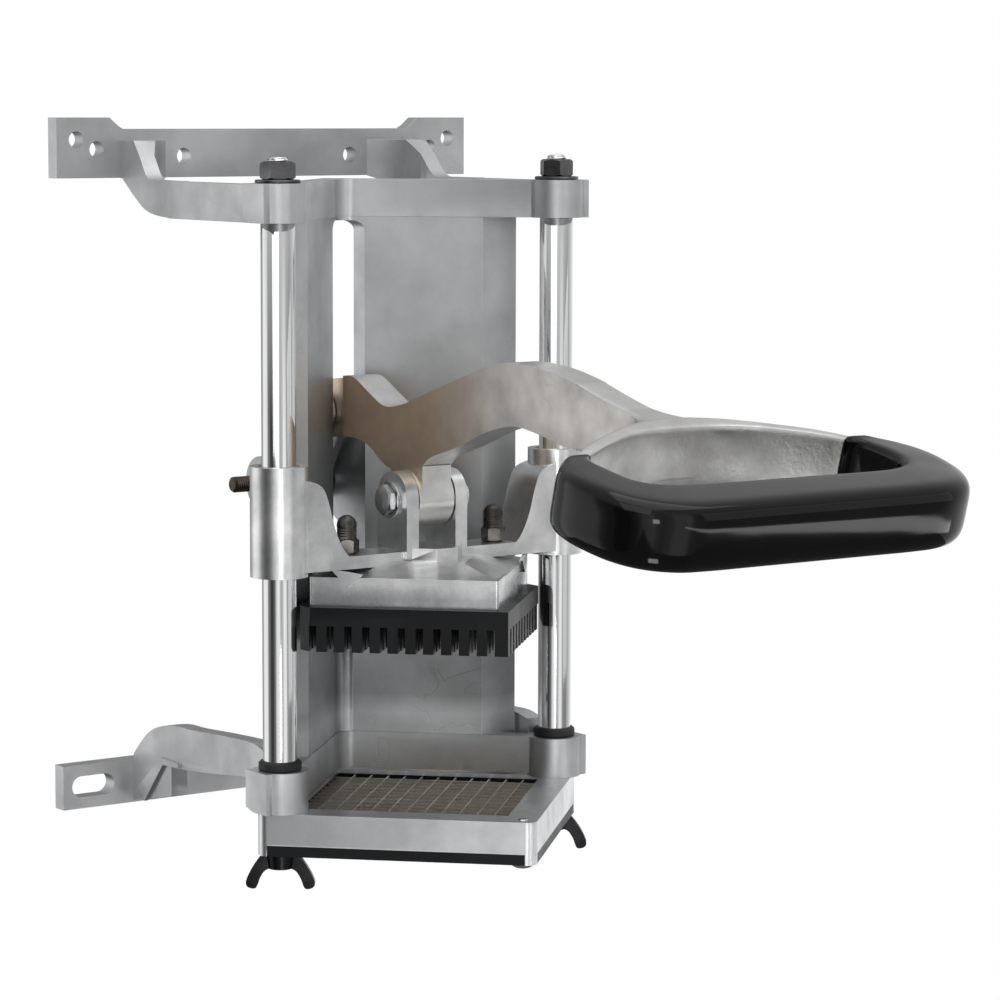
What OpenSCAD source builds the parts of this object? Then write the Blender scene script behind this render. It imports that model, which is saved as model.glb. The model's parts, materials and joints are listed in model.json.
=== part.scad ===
// Wall-mounted french fry cutter. A cast frame holds two guide rods; a lever drives a toothed
// block down the rods, through a square grid of blades turned 45 degrees to the wall.
// The part stands as it hangs: +Z is up, +Y points into the wall and -Y to the cook.
// The sizes below are measured from the rods' middle plane and from the top of the lower collars.

/* [Rods] */
// Distance from the side corner of the cutting opening to the axis of a guide rod
rod_clear = 8.148; // [7.8:0.001:12]
// Diameter of a guide rod
rod_d = 15.9; // [14:0.1:19.1]
// Free length of a rod between the collars
rod_len = 252; // [246:1:303]
// Diameter of the threaded ends of a rod
stud_d = 9.5; // [8:0.5:10]
// Wall of a rubber bumper
bumper_wall = 2.05; // [1.5:0.05:3]
// Height of a rubber bumper
bumper_h = 4.3; // [3:0.1:5]

/* [Blade grid] */
// Cells along each side of the blade grid
cells = 12; // [8:1:14]
// Pitch of the cells
cell = 8.35; // [6.9:0.05:10.1]
// Height of a blade
blade_h = 10.8; // [8:0.1:11]
// Thickness of a blade
blade_t = 0.7; // [0.5:0.1:1]
// Reach of a blade's end into the spacer
blade_end = 2.4; // [1:0.1:2.8]

/* [Frame] */
// Distance from the rods' plane to the wall face
wall_y = 142; // [136:1:171]
// How far the column's inner corner lies inside the cutting opening's back corner
corner_inset = 0.452; // [0:0.001:1]
// Distance from the rods' plane to the front of the flanges
flange_y = 20.4; // [18:0.1:24]
// Distance from a rod's axis to the edge of the flange beside it
flange_clear = 9; // [8.6:0.1:14]
// Thickness of the flanges
flange_t = 6; // [4:0.5:8]
// Wall thickness of the column's wings
wing_t = 7; // [5:0.5:9]
// Thickness of the beams at the top and the bottom of the column
beam_t = 9; // [8:0.5:11]
// Height of the top and the bottom beams
beam_h = 18; // [14:1:20]
// Step from the wings' faces to the beams' faces
beam_step = 0.8; // [0.4:0.1:1.5]
// Radius inside the back corner
corner_r = 7; // [4:1:10]
// Wall of a collar outside the rod's diameter
collar_wall = 5.05; // [4:0.05:6]
// Height of a lower collar
collar_h = 19.3; // [18:0.1:21]
// Length of the collars' side blocks
block_len = 18; // [14:1:20]
// Gap between the lever's bar and each side of the slot in the column
slot_gap = 1; // [0.8:0.1:2]
// Height of the slot's bottom
slot_low = 78; // [60:1:84]
// Distance from the slot's top to the upper collars
slot_top_wall = 2; // [2:0.5:12]
// Corner radius of the slot
slot_r = 5; // [2:0.5:7]

/* [Wall brackets] */
// Thickness of the wall plates
plate_t = 8.4; // [6:0.2:10]
// Distance from a rod's axis out to the end of the wall plates
plate_out = 40; // [38:0.5:50]
// Height of the upper wall plate
upper_h = 23.5; // [22:0.5:26]
// Height of the upper pads
pad_h = 29; // [27:0.5:32]
// Distance from a rod's axis out to the upper pads' inner corner
pad_out = 3.5; // [2:0.5:8]
// Length of the curve at a pad's inner corner
pad_slope = 7.5; // [6:0.5:12]
// Diameter of the wall screw holes
wall_hole_d = 7.9; // [6:0.1:9]
// Distance from a rod's axis out to the outer hole
outer_hole_out = 29.4; // [26:0.1:34]
// Height of the outer hole over the plate's lower edge
outer_hole_up = 18.4; // [14:0.1:22]
// Distance from a rod's axis out to the middle hole
middle_hole_out = 18.2; // [14:0.1:20]
// Height of the middle hole over the plate's lower edge
middle_hole_up = 13.7; // [8:0.1:18]
// Distance from a rod's axis in to the inner hole
inner_hole_in = 30.5; // [28:0.1:40]
// Height of the inner hole over the plate's lower edge
inner_hole_up = 10.3; // [8:0.1:14]
// Length of the lower mounting slots
wall_slot_len = 23.4; // [20:0.1:28]
// Height of the lower mounting slots
wall_slot_h = 10.3; // [8:0.1:11]
// Distance from a rod's axis out to the middle of a lower mounting slot
wall_slot_out = 23.5; // [20:0.5:26]
// Height of the lower mounting slots below the collars' top
wall_slot_drop = 26; // [24:0.5:27]
// Height of the lower pads
lower_pad_h = 21.6; // [18:0.2:26]
// Height of the lower wall plate between the pads
lower_plate_h = 19; // [14:1:21]
// Thickness of the arms that reach the wall
arm_t = 9; // [7:0.5:10]
// Height of the upper arms
arm_h = 17.4; // [15:0.2:17.6]
// Distance from a rod's axis out to the upper arms' outer face
arm_out = 11; // [8:0.5:12]
// Distance behind the rods at which the upper arms bend
arm_bend_y = 78.6; // [70:0.2:90]
// Thickness of the webs between the arms and the wall plates
web_t = 5; // [4:0.5:8]
// Width of the fillet between an upper web and the wall plate
web_fillet = 19; // [10:1:24]
// Distance from a rod's axis out to the lower arms' outer face
low_arm_out = 1.5; // [1:0.5:5]
// Highest point of the lower arms over the collars' top
low_arm_top = 9.4; // [6:0.1:9.4]
// Height of the lower arms
low_arm_h = 21; // [16:0.5:24]
// Distance behind the rods at which the lower arms meet their webs
low_bend_y = 96; // [85:1:104]

/* [Pusher head] */
// Height of the head's lower face in the pose shown
head_low = 75; // [75:0.5:76]
// Thickness of the head plate
head_t = 13.5; // [10:0.5:14]
// How far the head plate's sides lie inside the sides of the cutting opening
head_inset = 5.8; // [4:0.1:8]
// Height of the bushings' lower face over the head's lower face
bushing_up = 15; // [14:0.5:16]
// Wall of the head's bushings outside their liners
bushing_wall = 3.65; // [3:0.05:4]
// Height of the head's bushings
bushing_h = 51; // [45:1:60]
// Wall of the bronze liners
liner_wall = 1.8; // [1.2:0.1:2.4]
// Height of the arms' lower face over the bushings' lower face
head_arm_up = 2; // [1:0.5:3]
// Thickness of the arms
head_arm_t = 6; // [5:0.5:8]
// Width of the arms and their gussets
head_arm_w = 22; // [18:1:24]
// Height of the gussets over the arms' lower face
gusset_h = 41.5; // [34:0.5:44]
// Reach of the gussets from the rod's axis
gusset_len = 31.4; // [28:0.2:31.4]
// Thickness of the clevis ears
ear_t = 6.7; // [5:0.1:8]
// Width of the clevis ears
ear_w = 24.7; // [20:0.1:26]
// Across flats of the raised boss under the clevis
boss_w = 29; // [26:1:32]
// Height of the raised boss over the arms
boss_up = 1.6; // [0.8:0.1:2.4]
// Depth of the pointed feet that clasp the plate's sides
foot_t = 1.6; // [1:0.1:3]

/* [Pusher block] */
// Thickness of the block without its teeth
block_t = 8.6; // [8:0.1:12]
// Length of the teeth
tooth_len = 12; // [8:0.1:12]
// Gap between a tooth and the blades beside it
tooth_gap = 1.375; // [1:0.005:2]
// How far the block's front sides lie inside the sides of the cutting opening
block_inset = 0.4; // [0.4:0.1:1]
// Gap between the block's back sides and the column's wings
block_gap = 0.98; // [0.9:0.01:2]
// Gap between the block's cut corners and the lower collars
block_cut = 0.5; // [0.5:0.1:2]
// Gap between a gusset's foot and the nut on the block's stud
nut_gap = 0.3; // [0.2:0.1:3]
// Diameter of the block's studs
block_stud_d = 6; // [5:0.1:7]

/* [Blade frame] */
// Metal between the collar's circle and the blade frame's side corner
frame_edge = 0.2; // [0:0.1:1]
// Corner radius of the blade frame
frame_r = 5; // [3:0.5:6]
// Height of the blade frame
blade_frame_h = 14.3; // [14.1:0.1:16]
// Height of the lip over the blades
lip_h = 2; // [1.5:0.1:2]
// Width of the ledge round the cutting opening that bears the spacer
pocket_ledge = 3.4; // [3:0.1:4]
// Corner radius of the pocket
pocket_r = 9; // [8:0.5:12]
// Height of the lower retainer
retainer_h = 5.6; // [5:0.1:7]
// Depth of the black strips in the retainer's sides
strip_t = 2.5; // [1.5:0.1:3]
// Height of the black strips
strip_h = 5; // [3:0.1:5.2]

/* [Lever] */
// Height of the lever's bearing bolt over the head's lower face
pivot_up = 46.5; // [46:0.5:48]
// Thickness of the lever's bar
bar_t = 16.5; // [13.7:0.1:19.8]
// How much thicker the lever's boss is than its bar
boss_extra = 3.3; // [3:0.1:4]
// Gap between the lever's boss and each ear
ear_gap = 0.6; // [0.3:0.1:1]
// Diameter of the lever's boss
lever_boss_d = 27; // [24:1:28]
// Diameter of the bolt that bears the lever
pivot_d = 9.5; // [8:0.5:10]
// Length of the bar from its bearing bolt to the loop
bar_len = 140; // [130:1:150]
// Height of the bar's crown over its bearing bolt
bar_crown = 68.8; // [66:0.2:70]
// Thickness of the lever's tail between the link's cheeks
tail_t = 7; // [6:0.1:7.4]
// Wall of metal round the track in the tail
tail_wall = 7; // [5:0.5:8]
// Distance from the bearing bolt to the middle of the loop's front bar
loop_front = 274.7; // [262:0.1:290]
// Height of the loop's front bar over the bearing bolt
loop_rise = 15.3; // [10:0.1:20]
// Half width of the loop
loop_half = 96.3; // [84:0.1:104]
// Slope of the loop towards its front, in degrees
loop_tilt = 15; // [12:0.5:18]
// Turn of the loop's front corners past square, in degrees
loop_turn = 34; // [30:1:38]
// Outer radius of the loop's front corners
loop_r = 36.5; // [30:0.5:40]
// Width of the loop's rounded section
loop_w = 26.3; // [22:0.1:27]
// Height of the loop's rounded section
loop_h = 25.1; // [20:0.1:27]
// Corner radius of the loop's section
loop_round = 8; // [5:0.5:10]
// Width of a side arm where it leaves the bar
root_w = 13; // [11:0.5:15]
// Height of a side arm where it leaves the bar
root_h = 29; // [26:0.5:31]
// Distance from the bearing bolt to the rear of the opening in the loop
opening_rear = 173; // [168:1:178]
// Thickness of the vinyl coat
coat_t = 2; // [1:0.1:2.5]

/* [Link] */
// Distance from the outside of the column's corner to the link's frame bolt
link_out = 17.7; // [17:0.1:18.5]
// Distance from the link's frame bolt forward to its upper pin in the pose shown
pin_fore = 22; // [20:0.5:24]
// Height of the link's upper pin over the link's frame bolt
pin_up = 36; // [34:0.5:38]
// Diameter of the link's upper pin
pin_d = 8; // [7:0.5:9]
// How far the link's cheeks lie inside the faces of the lever's bar
link_inset = 0.25; // [0:0.05:0.5]
// Diameter of the link's ends
link_end_d = 18; // [16:1:20]
// Diameter of the link's frame bolt
link_bolt_d = 7.9; // [7:0.1:9]
// Length of the frame bolt's free end
bolt_end = 16; // [10:1:20]
// Thickness of the lugs on the frame
lug_t = 8; // [6:0.5:9]
// Length of the boss on each lug
lug_boss = 18.35; // [16:0.05:20]
// Diameter of the lugs' bosses
lug_d = 26; // [22:1:26]

/* [Motion] */
// Travel of the head down from the pose shown
travel_down = 80; // [60:1:80]
// Travel of the head up from the pose shown
travel_up = 72; // [50:1:72]
// Turn of the lever over the head's whole travel, in degrees
lever_sweep = 77.064; // [60:0.001:78]
// Turn of the link over the head's whole travel, in degrees
link_sweep = 82.688; // [64:0.001:84]

/* [Fasteners] */
// Across flats of a rod nut
rod_nut_w = 14.3; // [13:0.1:16]
// Height of a rod nut
rod_nut_h = 8.2; // [6:0.1:9]
// Diameter of a rod washer
rod_washer_d = 21; // [18:0.5:24]
// Thickness of a rod washer
rod_washer_t = 1.6; // [1:0.1:2]
// Across flats of the lever bolt's head
pivot_head_w = 12.7; // [12:0.1:15]
// Height of the lever bolt's head
pivot_head_h = 3.8; // [3:0.1:6]
// Diameter of the lever bolt's washers
pivot_washer_d = 17.5; // [15:0.5:21]
// Thickness of the lever bolt's washers
pivot_washer_t = 1.2; // [0.8:0.1:2]
// Across flats of the link bolt's head
link_head_w = 12.7; // [11:0.1:14]
// Height of the link bolt's head
link_head_h = 5.4; // [4:0.1:7]
// Across flats of a cap nut
cap_nut_w = 10; // [9:0.5:11]
// Height of a cap nut's hexagon
cap_nut_h = 7; // [5:0.5:9]
// Full height of a cap nut
cap_nut_top = 18; // [14:0.5:20]
// Diameter of a frame screw's round head
screw_head_d = 11; // [9:0.5:12]
// Height of a frame screw's round head
screw_head_h = 2.6; // [2:0.1:4]
// Shank diameter of a frame screw
screw_d = 4.8; // [4:0.1:5]
// Distance from the blade frame's sharp corner in to a frame screw
screw_in = 10.2; // [9:0.1:12]
// Diameter of a wing nut's hub
wing_hub_d = 13; // [12:0.5:15]
// Height of a wing nut's hub
wing_hub_h = 7; // [6:0.5:9]
// Reach of a wing nut's wings from its axis
wing_reach = 16; // [14:0.5:18]
// Drop of a wing nut's wings below its seat
wing_drop = 16.5; // [14:0.5:19]
// Thickness of a wing nut's wings
wing_plate_t = 3.4; // [2.5:0.1:4]

/* [Clearances] */
// Clearance on the radius of a running fit
run_fit = 0.05; // [0.02:0.01:0.08]
// Clearance on the radius of a hole for a screw or a stud
hole_fit = 0.15; // [0.1:0.05:0.3]
// Gap between faces that slide past each other
side_gap = 0.4; // [0.3:0.05:0.5]

/* [Hidden] */
$fn = 64;

sides = [-1, 1];
corner_share = sqrt(2);

// The cutting opening sets the rods, the column's corner, the head and the blade frame
pitch_half = cells * cell / 2;
rod_x = pitch_half * corner_share + rod_clear;
back_y = pitch_half * corner_share - corner_inset;
wing_x = back_y - flange_y;
flange_x = rod_x - flange_clear;
inner_corner = back_y - beam_step;
outer_corner = back_y + beam_t * corner_share;
wing_outer = back_y + wing_t * corner_share;
collar_d = rod_d + 2 * collar_wall;
bumper_d = rod_d + 2 * bumper_wall;
liner_d = rod_d + 2 * liner_wall;
bushing_d = liner_d + 2 * bushing_wall;
frame_top = rod_len + beam_h;
slot_w = bar_t + 2 * slot_gap;
slot_high = rod_len - slot_top_wall;

plate_y = wall_y - plate_t;
plate_x = rod_x + plate_out;
pad_x = rod_x + pad_out;
arm_x = rod_x + arm_out;
low_arm_x = rod_x + low_arm_out;
wall_slot_x = rod_x + wall_slot_out;
wall_holes = [[rod_x + outer_hole_out, frame_top + outer_hole_up],
    [rod_x + middle_hole_out, frame_top + middle_hole_up],
    [rod_x - inner_hole_in, frame_top + inner_hole_up]];

head_half = pitch_half - head_inset;
bushing_low = head_low + bushing_up;
head_arm_low = bushing_low + head_arm_up;
head_arm_top = head_arm_low + head_arm_t;
block_low = head_low - block_t;
block_front = pitch_half - block_inset;
block_back = back_y / corner_share - block_gap;
block_cut_x = rod_x - collar_d / 2 - block_cut;
stud_x = rod_x - gusset_len - nut_gap - cap_nut_w / 2 / cos(30);
tooth_w = cell - blade_t - 2 * tooth_gap;

blade_frame_low = -collar_h - blade_frame_h;
retainer_low = blade_frame_low - retainer_h;
frame_half = (rod_x + collar_d / 2 + frame_edge) / corner_share;
pocket_half = pitch_half + pocket_ledge;
strip_len = 2 * (frame_half - frame_r);
blade_low = -collar_h - lip_h - side_gap - blade_h;
screw_y = frame_half * corner_share - screw_in;

pivot_z = head_low + pivot_up;
lever_boss_t = bar_t + boss_extra;
ear_in = lever_boss_t / 2 + ear_gap;
link_y = wing_outer + link_out;
link_z = pivot_z;
pin_y = link_y - pin_fore;
link_half = bar_t / 2 - link_inset;
cheek_t = link_half - tail_t / 2 - side_gap;
lug_in = slot_w / 2 + side_gap;
lug_x = lug_in + lug_boss;
lever_rate = -lever_sweep / (travel_down + travel_up);
link_rate = -link_sweep / (travel_down + travel_up);

cast_metal = "#b4b7b8";
steel = "#c9cbcd";
brass = "#b59a6a";
black = "#1b1c1e";

// The row's origin lies on the wall, midway between the two lower mounting slots
module placed() translate([0, -wall_y, wall_slot_drop]) children();

// A square with rounded corners, exact arcs
module rounded_rectangle(w, h, r) {
    square([w, h - 2 * r], center = true);
    square([w - 2 * r, h], center = true);
    for (x = sides, y = sides) translate([x * (w / 2 - r), y * (h / 2 - r)]) circle(r);
}

// A square plate turned 45 degrees to the wall
module diamond(half, r, h) rotate(45) linear_extrude(h) rounded_rectangle(2 * half, 2 * half, r);

// A 2-D shape drawn as (Y, Z), standing at x with thickness t
module upright(x, t) translate([x, 0, 0]) rotate([90, 0, 90]) linear_extrude(t) children();

// A round bar along X
module bar_x(x, y, z, d, len) translate([x, y, z]) rotate([0, 90, 0]) cylinder(d = d, h = len);

// A hexagonal prism, by its across-flats size
module hex_prism(flats, h) cylinder(d = flats / cos(30), h = h, $fn = 6);

// A stadium-shaped 2-D slot along X
module stadium(len, h) {
    square([len - h, h], center = true);
    for (s = sides) translate([s * (len - h) / 2, 0]) circle(d = h);
}

// Shares of a width and a height, as points; a smooth curve through points
function scaled(shares, w, h) = [for (p = shares) [p[0] * w, p[1] * h]];
function curve_at(a, b, c, d, t) = ((d - a + 3 * (b - c)) * t ^ 3
    + (2 * a - 5 * b + 4 * c - d) * t ^ 2 + (c - a) * t + 2 * b) / 2;
function smooth(p, n) = let (last = len(p) - 1) concat([for (i = [0:last - 1], k = [0:n - 1])
    curve_at(p[max(i - 1, 0)], p[i], p[i + 1], p[min(i + 2, last)], k / n)], [p[last]]);
function moved(points, x, y) = [for (p = points) [p[0] + x, p[1] + y]];
function swap_side(points) = [for (i = [len(points) - 1:-1:0]) [-points[i][0], points[i][1]]];
function arc(cx, cy, r, from, to, step) =
    [for (a = [from:step:to]) [cx + r * cos(a), cy + r * sin(a)]];

// The inner back corner of a V whose faces meet at the height c, rounded by r
function back_arc(c, r) = arc(0, c - r * corner_share, r, 45, 135, 10);

module column_plan() {
    right = [[flange_x, flange_y + flange_t], [flange_x, flange_y], [wing_x, flange_y]];
    foot = wing_outer - flange_y - flange_t;
    outer = [[-foot, flange_y + flange_t], [0, wing_outer], [foot, flange_y + flange_t]];
    polygon(concat(right, back_arc(back_y, corner_r), swap_side(right), outer));
}

module beam_plan() polygon(concat([[outer_corner, 0], [inner_corner, 0]],
    back_arc(inner_corner, corner_r), [[-inner_corner, 0], [-outer_corner, 0], [0, outer_corner]]));

module column_slot_plan() translate([0, (slot_low + slot_high) / 2])
    rounded_rectangle(slot_w, slot_high - slot_low, slot_r);

// A collar with the block at its side, whose rear lower edge is cut away
module collar(side, low, high) {
    h = high - low;
    block = scaled([[0, 0.1], [0.35, 0], [1, 0], [1, 1], [0, 1]], -block_len, h);
    translate([side * rod_x, 0, low]) cylinder(d = collar_d, h = h);
    upright(side < 0 ? -rod_x - collar_d / 2 : rod_x, collar_d / 2)
        polygon(moved(block, block_len / 2 + side_gap, low));
}

// A plate standing along Y, from y0 to y1 and z0 to z1, whose outer face is at x
module arm_plate(side, x, y0, y1, z0, z1)
    translate([side > 0 ? x - arm_t : -x, y0, z0]) cube([arm_t, y1 - y0, z1 - z0]);

// An upper web from the side: shares of its length, and of its rise over the arm's height
web_top_shares = [[0, 0], [0.28, 0], [0.45, 0.05], [0.62, 0.5], [0.78, 0.87], [0.9, 0.97], [1, 1]];
web_low_shares = [[1, 1], [0.88, 0.78], [0.72, 0.5], [0.52, 0.2], [0.3, 0.06], [0, 0]];

module upper_bracket() {
    rise = upper_h - side_gap;
    web_x = pad_x - web_t + side_gap;
    run = plate_y - arm_bend_y;
    slant = atan2(arm_x - web_x, run);
    bow = pad_slope * 0.35;
    pad = [[pad_x - web_t, 0], [plate_x, 0], [plate_x, pad_h], [pad_x + pad_slope, pad_h],
        [pad_x + bow, (pad_h + upper_h - bow) / 2], [pad_x, upper_h]];
    top = moved(scaled(smooth(web_top_shares, 4), run, rise), 0, frame_top - side_gap);
    low = moved(scaled(smooth(web_low_shares, 4), run, beam_h - side_gap), 0, rod_len + side_gap / 2);
    translate([0, wall_y, frame_top]) rotate([90, 0, 0]) linear_extrude(plate_t) {
        translate([-pad_x, 0]) square([2 * pad_x, upper_h]);
        polygon(pad);
        polygon(swap_side(pad));
    }
    for (side = sides) {
        arm_plate(side, arm_x, block_len / 4, arm_bend_y, rod_len, rod_len + arm_h);
        intersection() {
            upright(-2 * arm_x, 4 * arm_x) translate([arm_bend_y - arm_t, 0]) polygon(
                concat(moved(top, arm_t, 0), [[run + arm_t + plate_t / 2, frame_top + rise - side_gap]],
                    [[run + arm_t + plate_t / 2, frame_top]], moved(low, arm_t, 0),
                    [[0, rod_len + side_gap / 2], [0, frame_top - side_gap]]));
            translate([0, 0, rod_len - beam_h]) linear_extrude(3 * beam_h) polygon([
                for (p = [[arm_x, arm_bend_y], [web_x + web_t, plate_y + plate_t / 2],
                    [web_x, plate_y + plate_t / 2], [web_x, plate_y], [web_x - web_fillet, plate_y],
                    [web_x - web_fillet * 0.6, plate_y - web_fillet * 0.25],
                    [arm_x - web_t - tan(slant) * run * 0.62, arm_bend_y + run * 0.62],
                    [arm_x - arm_t, arm_bend_y], [arm_x - arm_t + side_gap, arm_bend_y - arm_t / 2],
                    [arm_x - side_gap, arm_bend_y - arm_t / 2]]) [side * p[0], p[1]]]);
        }
    }
}

// The lower arm and its web from the side: shares of the arm's length and height
low_top_shares = [[0.19, 0.96], [0.28, 1], [0.55, 0.96], [0.8, 0.9], [0.93, 0.9], [1.02, 0.86],
    [1.12, 0.77], [1.22, 0.58], [1.3, 0.3], [1.37, 0]];
low_under_shares = [[1, -0.1], [0.85, -0.07], [0.66, 0], [0.35, 0.15], [0.1, 0.24]];

module lower_bracket() {
    low = -wall_slot_drop - lower_pad_h / 2;
    under = low_arm_top - low_arm_h;
    front = bumper_d / 2 + side_gap;
    reach = plate_y - low_bend_y;
    top = [for (p = low_top_shares) [p[0] < 1 ? p[0] * low_bend_y :
        low_bend_y + (p[0] - 1) * reach / 0.39, under + p[1] * low_arm_h]];
    translate([0, wall_y, low]) rotate([90, 0, 0]) linear_extrude(plate_t) {
        translate([-pad_x, 0]) square([2 * pad_x, lower_plate_h]);
        for (side = sides) translate([side < 0 ? -plate_x : pad_x - plate_t, 0])
            square([plate_x - pad_x + plate_t, lower_pad_h]);
    }
    for (side = sides) {
        upright(side > 0 ? low_arm_x - arm_t : -low_arm_x, arm_t) polygon(concat(
            [[block_len / 4, under * 0.6], [block_len / 4, -side_gap], [front, -side_gap],
                [front + bumper_wall, low_arm_top * 0.75]], smooth(top, 3),
            [[plate_y + plate_t / 2, low + side_gap + lower_pad_h / 2], [plate_y + plate_t / 2, low + side_gap],
                [low_bend_y, low + arm_t - side_gap]],
            moved(scaled(low_under_shares, low_bend_y, low_arm_h), 0, under)));
        upright(side > 0 ? low_arm_x - side_gap : -low_arm_x - web_t / 3, web_t / 3 + side_gap)
            polygon([[plate_y - reach * 0.38, low + arm_t / 3], [plate_y - reach * 0.85, under * 1.15],
                [low_bend_y - arm_t, under * 1.08], [low_bend_y - arm_t, under * 0.9],
                [plate_y - reach * 0.8, under * 0.85], [plate_y - reach * 0.2, low + arm_t]]);
    }
}

// A lug behind the column that bears the link, with its boss
module lug(side) {
    root = wing_outer - lug_in - lug_t - side_gap;
    outline = [[root, link_z - 1.3 * lug_d], [link_y, link_z - lug_d / 2],
        [link_y, link_z + lug_d / 2], [root, link_z + 1.4 * lug_d]];
    upright(side > 0 ? lug_in : -lug_in - lug_t, lug_t) {
        polygon(outline);
        translate([link_y, link_z]) circle(d = lug_d);
    }
    bar_x(side > 0 ? lug_in : -lug_x, link_y, link_z, lug_d, lug_boss);
}

module frame() placed() color(cast_metal) difference() {
    union() {
        translate([0, 0, -beam_h]) linear_extrude(frame_top + beam_h) column_plan();
        for (z = [-beam_h, rod_len]) translate([0, 0, z]) linear_extrude(beam_h) beam_plan();
        for (side = sides) {
            collar(side, -collar_h, 0);
            collar(side, rod_len, frame_top);
            lug(side);
        }
        upper_bracket();
        lower_bracket();
    }
    translate([0, wing_outer + wing_t, 0]) rotate([90, 0, 0])
        linear_extrude(wing_outer - back_y + 4 * wing_t) column_slot_plan();
    for (side = sides) {
        translate([side * rod_x, 0, -collar_h - side_gap])
            cylinder(d = stud_d + 2 * hole_fit, h = frame_top + collar_h + 2 * side_gap);
        for (p = wall_holes) translate([side * p[0], wall_y + side_gap, p[1]]) rotate([90, 0, 0])
            cylinder(d = wall_hole_d, h = plate_t + 2 * side_gap);
        translate([side * wall_slot_x, wall_y + side_gap, -wall_slot_drop]) rotate([90, 0, 0])
            linear_extrude(plate_t + 2 * side_gap) stadium(wall_slot_len, wall_slot_h);
    }
    bar_x(-lug_x - side_gap, link_y, link_z, link_bolt_d + 2 * run_fit, 2 * (lug_x + side_gap));
}

// A guide rod: its lower threaded end stops inside the wing nut, its upper one stands over the nut
module guide_rod(side) placed() color(steel) translate([side * rod_x, 0, 0]) {
    low = retainer_low - wing_hub_h + side_gap;
    translate([0, 0, side_gap / 4]) cylinder(d = rod_d, h = rod_len - side_gap / 2);
    translate([0, 0, low])
        cylinder(d = stud_d, h = frame_top + rod_washer_t + rod_nut_h * 1.25 - low);
}
module guide_rod_left() guide_rod(-1);
module guide_rod_right() guide_rod(1);

module rod_nuts() placed() color(steel) for (side = sides)
    translate([side * rod_x, 0, frame_top + rod_washer_t]) difference() {
        hex_prism(rod_nut_w, rod_nut_h);
        translate([0, 0, -side_gap]) cylinder(d = stud_d, h = rod_nut_h + 2 * side_gap);
    }

module rod_washers() placed() color(steel) for (side = sides)
    translate([side * rod_x, 0, frame_top]) difference() {
        cylinder(d = rod_washer_d, h = rod_washer_t);
        translate([0, 0, -side_gap])
            cylinder(d = stud_d + 2 * hole_fit, h = rod_washer_t + 2 * side_gap);
    }

module rod_bumpers() placed() color(black) for (side = sides)
    translate([side * rod_x, 0, 0]) difference() {
        cylinder(d = bumper_d, h = bumper_h);
        translate([0, 0, -side_gap]) cylinder(d = rod_d, h = bumper_h + 2 * side_gap);
    }

// The gusset's curve from the bushing down to the arm: shares of its reach and height
gusset_shares = [[0.1, 1.04], [0.38, 1], [0.55, 0.92], [0.65, 0.74], [0.74, 0.49], [0.84, 0.31],
    [0.93, 0.2]];
// A pointed foot on a side of the plate: shares of the arm's width and the plate's thickness
foot_shares = [[-0.6, 0.12], [-0.82, -0.35], [-1.1, 0.3]];

// An arm and its gusset from the front, as (X, Z), towards one side
function head_arm(side) = [for (p = concat([[0, head_arm_low], [rod_x, head_arm_low]],
    [for (q = smooth(scaled(gusset_shares, gusset_len, gusset_h), 4))
        [rod_x - q[0], head_arm_low + q[1]]],
    [[rod_x - gusset_len, head_arm_top], [0, head_arm_top]])) [side * p[0], p[1]]];

module clevis_ear(side) upright(side > 0 ? ear_in : -ear_in - ear_t, ear_t) {
    middle = -3 * side_gap;
    translate([middle - ear_w / 2, head_arm_top - head_arm_t / 2])
        square([ear_w, pivot_z + 3 * side_gap - head_arm_top + head_arm_t / 2]);
    translate([middle, pivot_z + 3 * side_gap]) circle(d = ear_w);
}

module pusher_head() placed() color(cast_metal) difference() {
    slope = head_arm_low + head_arm_t / 3;
    union() {
        translate([0, 0, head_low]) diamond(head_half, 3 * side_gap, head_t);
        translate([0, 0, head_low + head_t - side_gap]) cylinder(
            r1 = (head_half - side_gap) * corner_share, r2 = head_half * 0.8,
            h = slope - head_low - head_t + side_gap, $fn = 4);
        translate([0, head_arm_w / 2, 0]) rotate([90, 0, 0]) linear_extrude(head_arm_w)
            polygon(concat(head_arm(-1), [for (i = [len(head_arm(1)) - 1:-1:0]) head_arm(1)[i]]));
        translate([0, -boss_w / 4, head_low + head_t / 2]) rotate(22.5) cylinder(
            d = boss_w / cos(22.5), h = head_arm_top + boss_up - head_low - head_t / 2, $fn = 8);
        for (side = sides) {
            translate([side * rod_x, 0, bushing_low]) cylinder(d = bushing_d, h = bushing_h);
            clevis_ear(side);
            for (turn = [side > 0 ? -45 : -135, side > 0 ? 45 : 135]) rotate(turn)
                translate([head_half - side_gap, 0, 0]) rotate([90, 0, 90])
                linear_extrude(foot_t + side_gap) polygon([for (p = foot_shares)
                    [sign(turn) * side * p[0] * corner_share * head_arm_w,
                        head_low + head_t + p[1] * head_t]]);
        }
    }
    for (side = sides) {
        translate([side * rod_x, 0, bushing_low - side_gap])
            cylinder(d = liner_d, h = bushing_h + 2 * side_gap);
        translate([side * stud_x, 0, head_low - side_gap])
            cylinder(d = block_stud_d + 2 * hole_fit, h = head_arm_top - head_low + 2 * side_gap);
    }
    bar_x(-ear_in - 2 * ear_t, 0, pivot_z, pivot_d, 2 * ear_in + 4 * ear_t);
}

module head_liners() placed() color(brass) for (side = sides)
    translate([side * rod_x, 0, bushing_low]) difference() {
        cylinder(d = liner_d, h = bushing_h);
        translate([0, 0, -side_gap])
            cylinder(d = rod_d + 2 * run_fit, h = bushing_h + 2 * side_gap);
    }

function blade_place(i) = (i - cells / 2) * cell;

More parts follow.
